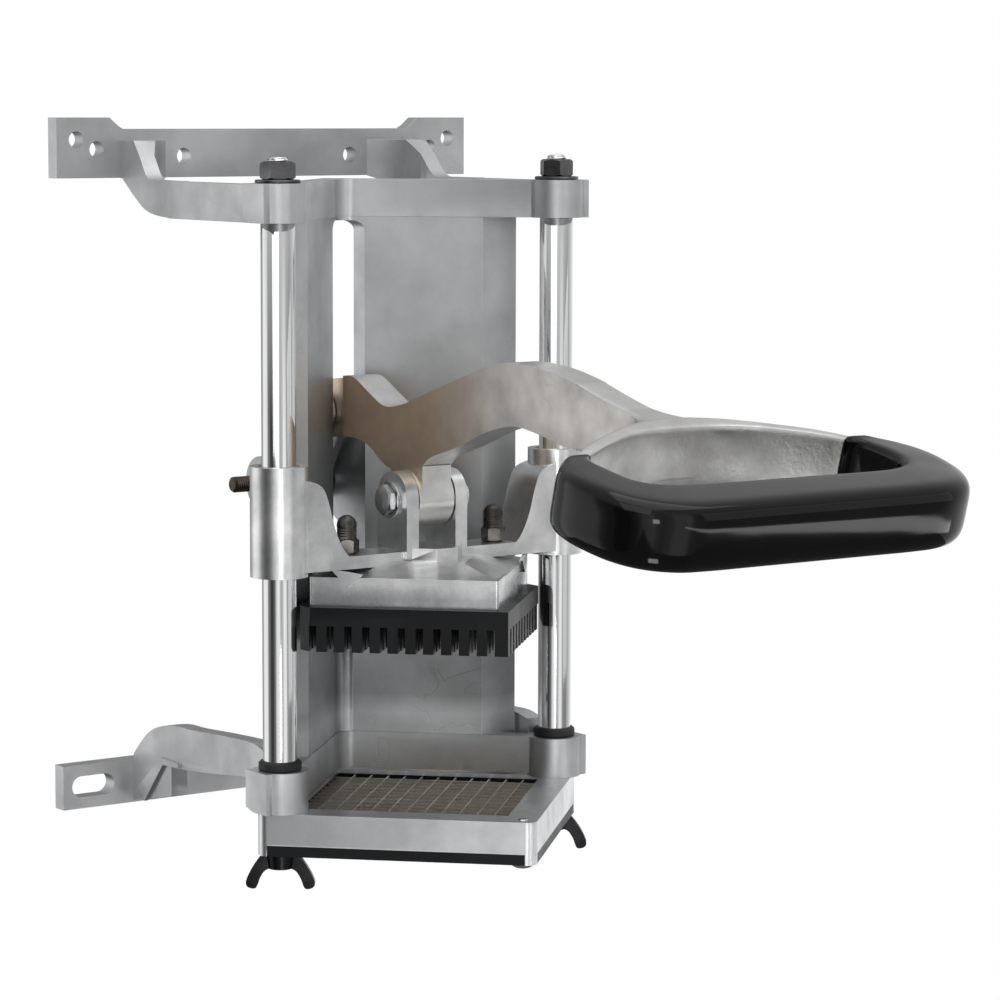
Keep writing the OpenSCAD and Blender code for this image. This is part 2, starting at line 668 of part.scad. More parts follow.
// Grooves between the teeth, in one direction: each one passes over a blade
module tooth_grooves() for (i = [1:cells - 1])
    translate([blade_place(i) - (cell - tooth_w) / 2, -2 * pitch_half, -side_gap])
        cube([cell - tooth_w, 4 * pitch_half, tooth_len + side_gap]);

// The block from above: its back corner is rounded to pass the column's corner
module block_plan() intersection() {
    back = block_back * corner_share;
    near = block_front * corner_share;
    polygon(concat([[(near + back) / 2, (back - near) / 2]], back_arc(back, corner_r * 1.15),
        [[-(near + back) / 2, (back - near) / 2], [0, -near]]));
    square([2 * block_cut_x, 4 * pitch_half], center = true);
}

module pusher_block() placed() color(black) difference() {
    translate([0, 0, block_low - tooth_len]) linear_extrude(block_t + tooth_len) block_plan();
    translate([0, 0, block_low - tooth_len]) for (turn = [45, 135]) rotate(turn) tooth_grooves();
    for (side = sides) translate([side * stud_x, 0, block_low + block_t / 4])
        cylinder(d = block_stud_d, h = block_t);
}

module block_studs() placed() color(steel) for (side = sides)
    translate([side * stud_x, 0, block_low + block_t / 4])
        cylinder(d = block_stud_d, h = head_arm_top + cap_nut_h - block_low - block_t / 4);

module cap_nuts() placed() color(steel) for (side = sides)
    translate([side * stud_x, 0, head_arm_top]) difference() {
        union() {
            hex_prism(cap_nut_w, cap_nut_h);
            cylinder(d = cap_nut_w, h = cap_nut_top - cap_nut_w / 2);
            translate([0, 0, cap_nut_top - cap_nut_w / 2]) sphere(d = cap_nut_w);
        }
        translate([0, 0, -cap_nut_w]) cylinder(d = block_stud_d, h = cap_nut_w + cap_nut_h);
    }

// Place of the link's upper pin, seen from the lever, when the head has travelled by t
function pin_angle(t) = atan2(pin_up, -pin_fore) + link_rate * t;
function pin_reach() = norm([pin_fore, pin_up]);
function pin_place(t) = [link_y + pin_reach() * cos(pin_angle(t)),
    link_z + pin_reach() * sin(pin_angle(t)) - pivot_z - t];
function turned(p, a) = [p[0] * cos(a) - p[1] * sin(a), p[0] * sin(a) + p[1] * cos(a)];
function pin_in_tail(t) = turned(pin_place(t), -lever_rate * t);

// The bar from the side, as shares of its length forward of the bolt and of its crown
bar_top_shares = [[-0.386, 0.792], [-0.32, 0.79], [-0.215, 0.685], [-0.13, 0.615], [-0.03, 0.64],
    [0.07, 0.705], [0.21, 0.8], [0.35, 0.892], [0.46, 0.96], [0.565, 1], [0.7, 0.995], [0.84, 0.955],
    [1, 0.88]];
bar_low_shares = [[1, 0.475], [0.87, 0.5], [0.757, 0.55], [0.63, 0.587], [0.543, 0.568],
    [0.44, 0.513], [0.28, 0.392], [0.143, 0.307], [0.086, 0.233], [0, 0.196], [-0.1, 0.193],
    [-0.16, 0.24], [-0.215, 0.313], [-0.29, 0.363], [-0.386, 0.371]];
tail_y = 0.386 * bar_len;
tail_low = pivot_z + 0.371 * bar_crown;
tail_high = pivot_z + 0.792 * bar_crown;

module bar_profile() translate([0, pivot_z])
    polygon(concat(scaled(smooth(bar_top_shares, 4), -bar_len, bar_crown),
        scaled(smooth(bar_low_shares, 4), -bar_len, bar_crown)));

// The loop lies in a plane that slopes to the front; this places what is drawn in that plane
module in_loop() translate([0, -loop_front, pivot_z + loop_rise]) rotate([loop_tilt, 0, 0])
    children();

corner_line = loop_r - loop_w / 2;

module loop_section(g) rounded_rectangle(loop_w + 2 * g, loop_h + 2 * g, loop_round + g);

// The front bar and its two corners, drawn with a section of the loop
module loop_front_bar() in_loop() {
    translate([loop_r - loop_half, 0, 0]) rotate([90, 0, 90])
        linear_extrude(2 * (loop_half - loop_r)) children();
    for (side = sides) mirror([side < 0 ? 1 : 0, 0, 0])
        translate([loop_half - loop_r, corner_line, 0]) rotate([0, 0, -90])
        rotate_extrude(angle = 90 + loop_turn) translate([corner_line, 0]) children();
}

// A side arm: it tapers from the loop's corner to the bar
module side_arm(side) mirror([side < 0 ? 1 : 0, 0, 0]) hull() {
    in_loop() translate([loop_half - loop_r, corner_line, 0]) rotate([0, 0, loop_turn])
        translate([corner_line, -side_gap, 0]) rotate([90, 0, 0])
        linear_extrude(side_gap, $fn = 32) loop_section(-side_gap / 2);
    translate([bar_t * 0.2, -bar_len + root_w / 4, pivot_z + bar_crown * 0.69])
        rotate([90, 0, loop_turn]) linear_extrude(side_gap, $fn = 32)
        rounded_rectangle(root_w, root_h, root_w / 3);
}

// The flat web between the side arms, behind the opening
module loop_web() intersection() {
    half = root_w * 2.6;
    sag = (opening_rear - bar_len) * 0.45;
    deep = loop_rise + loop_h * 0.42;
    translate([0, 0, pivot_z]) linear_extrude(bar_crown) polygon(concat(
        [[-bar_t * 0.3, root_w / 2 - bar_len], [-half, -opening_rear - sag]],
        [for (i = [-6:6]) [i / 6.6 * half, -opening_rear - sag * (i / 6) ^ 2]],
        [[half, -opening_rear - sag], [bar_t * 0.3, root_w / 2 - bar_len]]));
    upright(-loop_half, 2 * loop_half) polygon([
        [root_w - bar_len, pivot_z + bar_crown * 0.875], [-bar_len, pivot_z + bar_crown * 0.865],
        [-loop_front, pivot_z + loop_rise + root_h * 0.3],
        [-loop_front, pivot_z + loop_rise - loop_h * 0.25],
        [-bar_len, pivot_z + bar_crown * 0.5], [root_w - bar_len, pivot_z + bar_crown * 0.52]]);
}

// The tail: a rounded plate round the track that the link's pin runs in
module tail_plan() {
    last = pin_in_tail(travel_up);
    low = pin_in_tail(-travel_down);
    r = pin_d / 2 + tail_wall;
    reach = max(last[0], low[0]);
    polygon([[tail_y - bar_t / 2, tail_low], [reach, pivot_z + low[1] - r],
        [reach, pivot_z + last[1] + r], [tail_y - bar_t / 2, tail_high]]);
    for (p = [last, low]) translate([reach, pivot_z + p[1]]) circle(r);
}

track_steps = 38;

module lever() placed() color(cast_metal) difference() {
    union() {
        upright(-bar_t / 2, bar_t) bar_profile();
        upright(-tail_t / 2, tail_t) tail_plan();
        loop_front_bar() loop_section(0);
        for (side = sides) side_arm(side);
        loop_web();
        bar_x(-lever_boss_t / 2, 0, pivot_z, lever_boss_d, lever_boss_t);
        upright(-bar_t / 2 + side_gap / 4, bar_t - side_gap / 2)
            translate([-lever_boss_d / 2 + side_gap, pivot_z])
            square([lever_boss_d - 2 * side_gap, lever_boss_d * 0.6]);
    }
    bar_x(-lever_boss_t, 0, pivot_z, pivot_d + 2 * run_fit, 2 * lever_boss_t);
    upright(-tail_t, 2 * tail_t) for (i = [0:track_steps])
        translate([0, pivot_z] + pin_in_tail(i / track_steps * (travel_down + travel_up) - travel_down))
        circle(d = pin_d + 2 * side_gap);
}

module handle_grip() placed() color(black) loop_front_bar() difference() {
    loop_section(coat_t);
    loop_section(0);
}

module lever_bolt() placed() color(steel) {
    reach = ear_in + ear_t + pivot_washer_t;
    bar_x(-reach, 0, pivot_z, pivot_d, 2 * reach + pivot_head_h * 1.7);
    translate([-reach - pivot_head_h, 0, pivot_z]) rotate([0, 90, 0])
        hex_prism(pivot_head_w, pivot_head_h);
}

module lever_bolt_nut() placed() color(steel)
    translate([ear_in + ear_t + pivot_washer_t, 0, pivot_z]) rotate([0, 90, 0]) difference() {
        hex_prism(pivot_head_w, pivot_head_h * 1.4);
        translate([0, 0, -side_gap]) cylinder(d = pivot_d, h = pivot_head_h * 2);
    }

module lever_bolt_washers() placed() color(steel) for (side = sides) difference() {
    bar_x(side > 0 ? ear_in + ear_t : -ear_in - ear_t - pivot_washer_t, 0, pivot_z,
        pivot_washer_d, pivot_washer_t);
    bar_x(-2 * lug_x, 0, pivot_z, pivot_d, 4 * lug_x);
}

// The link: a yoke with a hub at the frame bolt and two cheeks that hold the upper pin
module link() placed() color(cast_metal) difference() {
    union() {
        bar_x(-lug_in + side_gap, link_y, link_z, link_end_d, 2 * (lug_in - side_gap));
        for (side = sides) {
            bar_x(side > 0 ? link_half - cheek_t : -link_half, pin_y, link_z + pin_up,
                link_end_d, cheek_t);
            translate([side > 0 ? link_half - cheek_t : -link_half, link_y, link_z])
                rotate([atan2(pin_up, -pin_fore), 0, 0])
                translate([0, 0, -link_end_d / 3]) cube([cheek_t, pin_reach(), link_end_d / 1.5]);
        }
    }
    bar_x(-lug_x, link_y, link_z, link_bolt_d + 2 * run_fit, 2 * lug_x);
    bar_x(-lug_x, pin_y, link_z + pin_up, pin_d, 2 * lug_x);
}

module link_pin() placed() color(steel)
    bar_x(-link_half, pin_y, link_z + pin_up, pin_d, 2 * link_half);

module link_bolt() placed() color(brass) {
    bar_x(-lug_x - bolt_end, link_y, link_z, link_bolt_d, 2 * lug_x + bolt_end);
    translate([lug_x, link_y, link_z]) rotate([0, 90, 0]) hex_prism(link_head_w, link_head_h);
}

module rod_end_holes(low, h) for (side = sides) translate([side * rod_x, 0, low])
    cylinder(d = stud_d + 2 * hole_fit, h = h);

module screw_holes(low, h) for (side = sides) translate([0, side * screw_y, low])
    cylinder(d = screw_d, h = h);

module blade_frame() placed() color(cast_metal) difference() {
    translate([0, 0, blade_frame_low]) diamond(frame_half, frame_r, blade_frame_h);
    translate([0, 0, blade_frame_low - side_gap])
        diamond(pitch_half, side_gap, blade_frame_h + 2 * side_gap);
    translate([0, 0, blade_frame_low - side_gap])
        diamond(pocket_half, pocket_r, blade_frame_h - lip_h + side_gap);
    rod_end_holes(blade_frame_low - side_gap, blade_frame_h + 2 * side_gap);
    screw_holes(blade_frame_low - side_gap, blade_frame_h + 2 * side_gap);
}

// The black spacer that holds both sets of blades in its saw cuts
module blade_spacer() placed() color(black) difference() {
    low = blade_frame_low + side_gap / 4;
    translate([0, 0, low]) diamond(pocket_half - hole_fit, pocket_r, blade_frame_h - lip_h - side_gap / 2);
    translate([0, 0, low - side_gap]) diamond(pitch_half, side_gap, blade_frame_h);
    for (turn = [45, 135]) translate([0, 0, blade_low]) rotate(turn) for (i = [1:cells - 1])
        translate([blade_place(i) - blade_t / 2 - run_fit, -pocket_half, -run_fit])
            cube([blade_t + 2 * run_fit, 2 * pocket_half, blade_h + 2 * run_fit]);
}

// One set of parallel blades, notched to half their height where the other set crosses.
// A blade is shorter where the pocket's corners are rounded.
module blade_set(turn, notch_low) translate([0, 0, blade_low]) rotate(turn) difference() {
    for (i = [1:cells - 1]) {
        half = pitch_half + (abs(blade_place(i)) < pocket_half - pocket_r ? blade_end : blade_end / 4);
        translate([blade_place(i) - blade_t / 2, -half, 0]) cube([blade_t, 2 * half, blade_h]);
    }
    for (i = [1:cells - 1])
        translate([-pitch_half, blade_place(i) - blade_t / 2 - hole_fit, notch_low - hole_fit])
            cube([2 * pitch_half, blade_t + 2 * hole_fit, blade_h / 2 + 2 * hole_fit]);
}
module upper_blades() placed() color(steel) blade_set(45, 0);
module lower_blades() placed() color(steel) blade_set(135, blade_h / 2);

module blade_retainer() placed() color(cast_metal) difference() {
    translate([0, 0, retainer_low]) diamond(frame_half, frame_r, retainer_h);
    translate([0, 0, retainer_low - side_gap])
        diamond(pitch_half, side_gap, retainer_h + 2 * side_gap);
    for (turn = [45, 135, 225, 315]) rotate(turn)
        translate([frame_half - strip_t, -strip_len / 2, retainer_low - side_gap])
            cube([2 * strip_t, strip_len, strip_h + side_gap]);
    rod_end_holes(retainer_low - side_gap, retainer_h + 2 * side_gap);
    screw_holes(retainer_low - side_gap, retainer_h + 2 * side_gap);
}

module retainer_strips() placed() color(black) for (turn = [45, 135, 225, 315]) rotate(turn)
    translate([frame_half - strip_t, -strip_len / 2, retainer_low])
        cube([strip_t - side_gap / 2, strip_len, strip_h]);

// The screws that hold the retainer: their ends show on top of the blade frame
module frame_screws() placed() color(steel) for (side = sides)
    translate([0, side * screw_y, retainer_low - screw_head_h]) {
        cylinder(d1 = screw_head_d * 0.7, d2 = screw_head_d, h = screw_head_h);
        cylinder(d = screw_d, h = screw_head_h + retainer_h + blade_frame_h + side_gap);
    }

// A wing from the front, as shares of its reach and its drop
wing_shares = [[0.3, -0.42], [0.36, -0.03], [0.52, -0.03], [0.72, -0.26], [0.9, -0.55],
    [1, -0.8], [0.97, -0.94], [0.84, -1], [0.7, -0.97], [0.6, -0.72], [0.46, -0.5], [0.3, -0.42]];

// A wing nut: a round hub with two wings that droop to the tips
module wing_nut(side) placed() color(steel)
    translate([side * rod_x, 0, retainer_low - side_gap / 2]) rotate(-38) difference() {
        union() {
            translate([0, 0, -wing_hub_h]) cylinder(d1 = wing_hub_d * 0.85, d2 = wing_hub_d, h = wing_hub_h);
            for (s = sides) translate([0, wing_plate_t / 2, 0]) rotate([90, 0, 0])
                linear_extrude(wing_plate_t) polygon([
                    for (p = scaled(smooth(wing_shares, 3), wing_reach, wing_drop)) [s * p[0], p[1]]]);
        }
        translate([0, 0, -2 * wing_drop]) cylinder(d = stud_d + 2 * run_fit, h = 3 * wing_drop);
    }
module wing_nut_left() wing_nut(-1);
module wing_nut_right() wing_nut(1);

frame();
guide_rod_left();
guide_rod_right();
rod_nuts();
rod_washers();
rod_bumpers();
pusher_head();
head_liners();
pusher_block();
block_studs();
cap_nuts();
lever();
handle_grip();
lever_bolt();
lever_bolt_nut();
lever_bolt_washers();
link();
link_pin();
link_bolt();
blade_frame();
blade_spacer();
upper_blades();
lower_blades();
blade_retainer();
retainer_strips();
frame_screws();
wing_nut_left();
wing_nut_right();
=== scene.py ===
"""Studio scene of a wall-mounted french fry cutter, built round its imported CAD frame.

Castings, the toothed block and wing nuts are softened copies of their CAD nodes. The fasteners
and the handle's loop, nose and coat are surfaces worked out with numpy. Blades, liners, studs,
link pin, spacer and strips keep their CAD meshes. Pieces are worked out in millimetres and made
in metres; the camera, lamps and floor are in metres.
"""

import json
import logging
import math
from dataclasses import dataclass, field
from enum import Enum
from typing import ClassVar

import bmesh
import bpy
import numpy as np
from mathutils import Matrix, Vector

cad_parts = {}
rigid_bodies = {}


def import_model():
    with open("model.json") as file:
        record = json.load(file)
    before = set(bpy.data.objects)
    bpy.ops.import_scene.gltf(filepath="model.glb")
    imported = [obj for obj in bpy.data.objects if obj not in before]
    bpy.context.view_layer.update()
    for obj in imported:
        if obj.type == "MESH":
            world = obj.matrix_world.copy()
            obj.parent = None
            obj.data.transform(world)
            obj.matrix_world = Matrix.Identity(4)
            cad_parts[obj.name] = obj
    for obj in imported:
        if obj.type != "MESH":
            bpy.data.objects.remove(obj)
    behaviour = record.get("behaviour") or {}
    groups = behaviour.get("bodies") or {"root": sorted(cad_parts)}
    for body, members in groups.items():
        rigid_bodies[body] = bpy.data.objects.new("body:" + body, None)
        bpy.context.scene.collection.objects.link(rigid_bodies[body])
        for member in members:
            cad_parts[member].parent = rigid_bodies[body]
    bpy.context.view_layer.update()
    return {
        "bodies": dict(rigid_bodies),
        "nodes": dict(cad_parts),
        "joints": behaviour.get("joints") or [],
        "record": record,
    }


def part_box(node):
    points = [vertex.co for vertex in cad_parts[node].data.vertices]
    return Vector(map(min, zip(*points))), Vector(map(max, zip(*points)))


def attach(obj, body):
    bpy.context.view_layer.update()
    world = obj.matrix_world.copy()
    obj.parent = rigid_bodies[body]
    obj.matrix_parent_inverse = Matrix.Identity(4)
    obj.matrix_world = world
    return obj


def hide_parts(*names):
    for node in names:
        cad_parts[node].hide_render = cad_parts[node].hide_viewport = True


LOG = logging.getLogger("fry_cutter")
MM = 0.001
# The wall is WALL_Y behind the rods' plane. Its slots lie at height 0 of the shared frame, and
# the lower collars' top is SLOT_DROP above them.
WALL_Y = 142.0
SLOT_DROP = 26.0
THREAD_SIDES = 48
NUT_CHAMFER = 0.5
Pair = tuple[float, float]
Triple = tuple[float, float, float]
Socket = bpy.types.NodeSocket


def row(x: float, y: float, z: float) -> np.ndarray:
    """Takes a place measured from the rods' plane and the collars' top to the shared frame."""
    return np.array([x, y - WALL_Y, z + SLOT_DROP], float)


def grey(tone: float) -> Triple:
    """Gives a neutral colour."""
    return (tone, tone, tone)


class Skin(Enum):
    """How a surface was made. A cast one shows cold folds; the others differ in their numbers."""

    CAST = "cast"
    GROUND = "ground"
    PLATED = "plated"
    MOULDED = "moulded"
    DIPPED = "dipped"


@dataclass(frozen=True)
class Finish:
    """One surface finish: two tones, how rough it is, and the size of its grain.

    Blotch and grain are noise scales for a metre, and relief is the height of the bump in metres.
    A finish with side tones paints a reflection on flat sides that face along X behind
    side_reflection_end,
    a Y in metres: a grey painted reflection, which turns to a warm one between both Y of
    rear_reflection_at.
    Its upright walls are wall_relief times as bumpy as the rest. A finish with shade heights is
    darker by painted_shade_tone between the middle two of its four heights: painted shade. One with
    a rise is rougher and paler above its heights.
    """

    name: str
    skin: Skin
    light: Triple
    dark: Triple
    metallic: float
    smooth: float
    rough: float
    blotch: float = 40.0
    grain: float = 600.0
    relief: float = 0.0001
    stretch: Triple = (1.0, 1.0, 1.0)
    specular: float = 0.5
    # Painted reflection on flat sides that face along X: its grey and rear tones, and where they
    # lie.
    side_reflection_light: Triple | None = None
    side_reflection_dark: Triple | None = None
    rear_reflection_light: Triple = grey(0.6)
    rear_reflection_dark: Triple = grey(0.4)
    side_reflection_end: float = 0.0
    rear_reflection_at: Pair = (0.0, 0.0)
    wall_relief: float = 1.0
    # Painted shade: four heights, and how dark it is between the middle two.
    painted_shade: tuple[float, float, float, float] | None = None
    painted_shade_tone: float = 1.0
    rise: Pair | None = None
    rise_tone: Triple = grey(0.9)
    rise_rough: float = 0.5


# The frame is darker between its middle two heights: painted shade, which falls on the column under
# the pusher head.
CAST_FRAME = Finish(
    "frame_casting", Skin.CAST, (0.64, 0.65, 0.66), (0.46, 0.47, 0.475),
    1.0, 0.33, 0.50, 24.0, 620.0, 0.00014, painted_shade=(0.20, 0.10, 0.045, 0.036), painted_shade_tone=0.58)
CAST_HEAD = Finish(
    "head_casting", Skin.CAST, (0.58, 0.59, 0.60), (0.36, 0.37, 0.38),
    1.0, 0.14, 0.34, 48.0, 380.0, 0.00016, rise=(0.105, 0.112), rise_tone=(0.97, 0.97, 0.965),
    rise_rough=0.30)
# The lever's flat flanks carry a painted reflection: grey, turning warm towards the rear.
CAST_LEVER = Finish(
    "lever_casting", Skin.CAST, (0.80, 0.80, 0.785), (0.56, 0.555, 0.54),
    1.0, 0.30, 0.48, 40.0, 560.0, 0.00014, side_reflection_light=(0.66, 0.635, 0.61),
    side_reflection_dark=(0.46, 0.435, 0.41), rear_reflection_light=(0.74, 0.60, 0.47), rear_reflection_dark=(0.56, 0.45, 0.36),
    side_reflection_end=-0.33, rear_reflection_at=(-0.215, -0.165), wall_relief=5.0)
CAST_BLADE_FRAME = Finish(
    "blade_frame_casting", Skin.CAST, (0.90, 0.91, 0.92), (0.66, 0.67, 0.68),
    1.0, 0.26, 0.42, 40.0, 800.0, 0.00008)
ROD_STEEL = Finish(
    "ground_rod", Skin.PLATED, (0.86, 0.865, 0.87), (0.80, 0.805, 0.81),
    1.0, 0.05, 0.09, 20.0, 900.0, 0.00001)
PLAIN_STEEL = Finish(
    "plain_steel", Skin.GROUND, (0.17, 0.17, 0.175), (0.08, 0.08, 0.085),
    1.0, 0.22, 0.42, 90.0, 900.0, 0.00008)
BRIGHT_STEEL = Finish(
    "bright_steel", Skin.PLATED, (0.72, 0.73, 0.74), (0.46, 0.47, 0.48),
    1.0, 0.08, 0.22, 80.0, 700.0, 0.00006)
BLADE_STEEL = Finish(
    "blade_steel", Skin.GROUND, (0.86, 0.82, 0.75), (0.58, 0.54, 0.48),
    1.0, 0.24, 0.42, 60.0, 900.0, 0.00003, (1.0, 1.0, 6.0))
BRONZE = Finish(
    "bronze", Skin.GROUND, (0.52, 0.42, 0.28), (0.40, 0.31, 0.20),
    1.0, 0.25, 0.40, 80.0, 900.0, 0.00003)
DARK_STEEL = Finish(
    "dark_steel", Skin.GROUND, (0.13, 0.122, 0.112), (0.06, 0.057, 0.053),
    1.0, 0.22, 0.38, 90.0, 900.0, 0.00006)
WING_STEEL = Finish(
    "wing_steel", Skin.GROUND, (0.04, 0.04, 0.043), (0.018, 0.018, 0.02),
    1.0, 0.20, 0.36, 90.0, 900.0, 0.00006)
BOLT_BRASS = Finish(
    "bolt_brass", Skin.GROUND, (0.12, 0.098, 0.075), (0.06, 0.048, 0.035),
    1.0, 0.26, 0.44, 120.0, 900.0, 0.00005)
BLACK_PLASTIC = Finish(
    "black_plastic", Skin.MOULDED, (0.010, 0.011, 0.012), (0.005, 0.005, 0.006),
    0.0, 0.30, 0.44, 30.0, 900.0, 0.00003, specular=0.22)
BLACK_RUBBER = Finish(
    "black_rubber", Skin.MOULDED, grey(0.014), grey(0.007),
    0.0, 0.50, 0.70, 60.0, 900.0, 0.00006)
BLACK_VINYL = Finish(
    "black_vinyl", Skin.DIPPED, (0.003, 0.003, 0.0034), (0.002, 0.002, 0.0024),
    0.0, 0.05, 0.08, 14.0, 42.0, 0.00003, specular=0.30)


@dataclass
class Wiring:
    """Places nodes in one shader tree and joins them."""

    tree: bpy.types.NodeTree

    @classmethod
    def cleared(cls, owner: bpy.types.Material | bpy.types.World) -> "Wiring":
        """Gives the emptied tree of a material or world.

        Args:
            owner: the material or world.

        Returns:
            Its wiring.
        """
        owner.use_nodes = True
        owner.node_tree.nodes.clear()
        return cls(owner.node_tree)

    def add(self, kind: str, values: dict | None = None, **settings: object) -> bpy.types.Node:
        """Adds one node.

        Args:
            kind: the node's Blender type name.
            values: socket name or number to a plain value, or to another node's output.
            settings: the node's own properties.

        Returns:
            The new node.
        """
        node = self.tree.nodes.new(kind)
        for name, value in settings.items():
            setattr(node, name, value)
        for socket, value in (values or {}).items():
            if isinstance(value, Socket):
                self.tree.links.new(value, node.inputs[socket])
            else:
                node.inputs[socket].default_value = value
        return node

    def maths(self, operation: str, first: object, second: object = 0.0) -> Socket:
        """Adds a Math node and returns its value."""
        return self.add("ShaderNodeMath", {0: first, 1: second}, operation=operation).outputs[0]

    def ramp(self, value: object, start: float, end: float, low: float = 0.0,
             high: float = 1.0) -> Socket:
        """Adds a straight ramp, low up to the start and high from the end, and returns it."""
        return self.add("ShaderNodeMapRange", {"Value": value, "From Min": start, "From Max": end,
                                               "To Min": low, "To Max": high}).outputs[0]

    def noise(self, place: Socket, scale: object, **shape: float) -> Socket:
        """Adds a noise read at a place and returns it; shape names its other values."""
        values = {name.capitalize(): value for name, value in shape.items()}
        return self.add("ShaderNodeTexNoise",
                        {"Vector": place, "Scale": scale, **values}).outputs[0]

    def parts(self, vector: Socket) -> list[Socket]:
        """Splits a vector into its three numbers."""
        return list(self.add("ShaderNodeSeparateXYZ", {0: vector}).outputs)

    def blend(self, share: Socket, first: object, second: object) -> Socket:
        """Mixes two colours.

        Args:
            share: 0 for the first colour and 1 for the second.
            first: a plain colour or another node's output.
            second: a plain colour or another node's output.

        Returns:
            The mixed colour.
        """
        node = self.add("ShaderNodeMix", {0: share}, data_type="RGBA")
        for socket, colour in ((node.inputs[6], first), (node.inputs[7], second)):
            if isinstance(colour, Socket):
                self.tree.links.new(colour, socket)
            else:
                socket.default_value = (*colour, 1.0)
        return node.outputs[2]


@dataclass
class EffectGroups:
    """The shader groups that several finishes share, each built once."""

    GRAIN: ClassVar[str] = "surface grain"
    FOLDS: ClassVar[str] = "cold folds"
    made: dict[str, bpy.types.NodeTree] = field(default_factory=dict)

    def start(self, name: str, takes: tuple[str, ...], gives: tuple[str, ...]) -> tuple:
        """Starts an empty group that takes a vector and some numbers, and gives numbers.

        Args:
            name: the group's name.
            takes: the names of the numbers it takes.
            gives: the names of the numbers it gives.

        Returns:
            The group's wiring, its input node and its output node.
        """
        tree = bpy.data.node_groups.new(name, "ShaderNodeTree")
        tree.interface.new_socket("Vector", in_out="INPUT", socket_type="NodeSocketVector")
        for labels, way in ((takes, "INPUT"), (gives, "OUTPUT")):
            for label in labels:
                tree.interface.new_socket(label, in_out=way, socket_type="NodeSocketFloat")
        wires = Wiring(tree)
        self.made[name] = tree
        return wires, wires.add("NodeGroupInput"), wires.add("NodeGroupOutput")

    def grain(self) -> bpy.types.NodeTree:
        """Soft blotches for the tone, and for the height 0.35 of a fine grain plus 0.65 of one
        about six times as wide.

        Returns:
            The group, made on first use.
        """
        if self.GRAIN not in self.made:
            wires, into, out = self.start(self.GRAIN, ("Blotch", "Grain"), ("Tone", "Height"))
            place, blotch, grain = (into.outputs[name] for name in ("Vector", "Blotch", "Grain"))
            cloud = wires.noise(place, blotch, detail=5.0, roughness=0.55)
            fine = wires.noise(place, grain, detail=3.0, roughness=0.6)
            wide = wires.noise(place, wires.maths("MULTIPLY", grain, 0.16), detail=2.0)
            height = wires.maths("ADD", wires.maths("MULTIPLY", fine, 0.35),
                                 wires.maths("MULTIPLY", wide, 0.65))
            wires.tree.links.new(wires.ramp(cloud, 0.32, 0.68), out.inputs["Tone"])
            wires.tree.links.new(height, out.inputs["Height"])
        return self.made[self.GRAIN]

    def folds(self) -> bpy.types.NodeTree:
        """Thin wandering lines, as metal that froze in folds leaves: where a warped noise is
        within a hair of its middle the mask is 1, and a wide noise lets them show in places.

        Returns:
            The group, made on first use.
        """
        if self.FOLDS not in self.made:
            wires, into, out = self.start(self.FOLDS, ("Scale",), ("Mask",))
            place, scale = into.outputs["Vector"], into.outputs["Scale"]
            line = wires.noise(place, scale, detail=4.0, distortion=1.4)
            away = wires.maths("ABSOLUTE", wires.maths("SUBTRACT", line, 0.5))
            thin = wires.ramp(away, 0.0, 0.012, 1.0, 0.0)
            wide = wires.noise(place, wires.maths("MULTIPLY", scale, 0.35))
            mask = wires.maths("MULTIPLY", thin, wires.ramp(wide, 0.54, 0.62))
            wires.tree.links.new(mask, out.inputs["Mask"])
        return self.made[self.FOLDS]


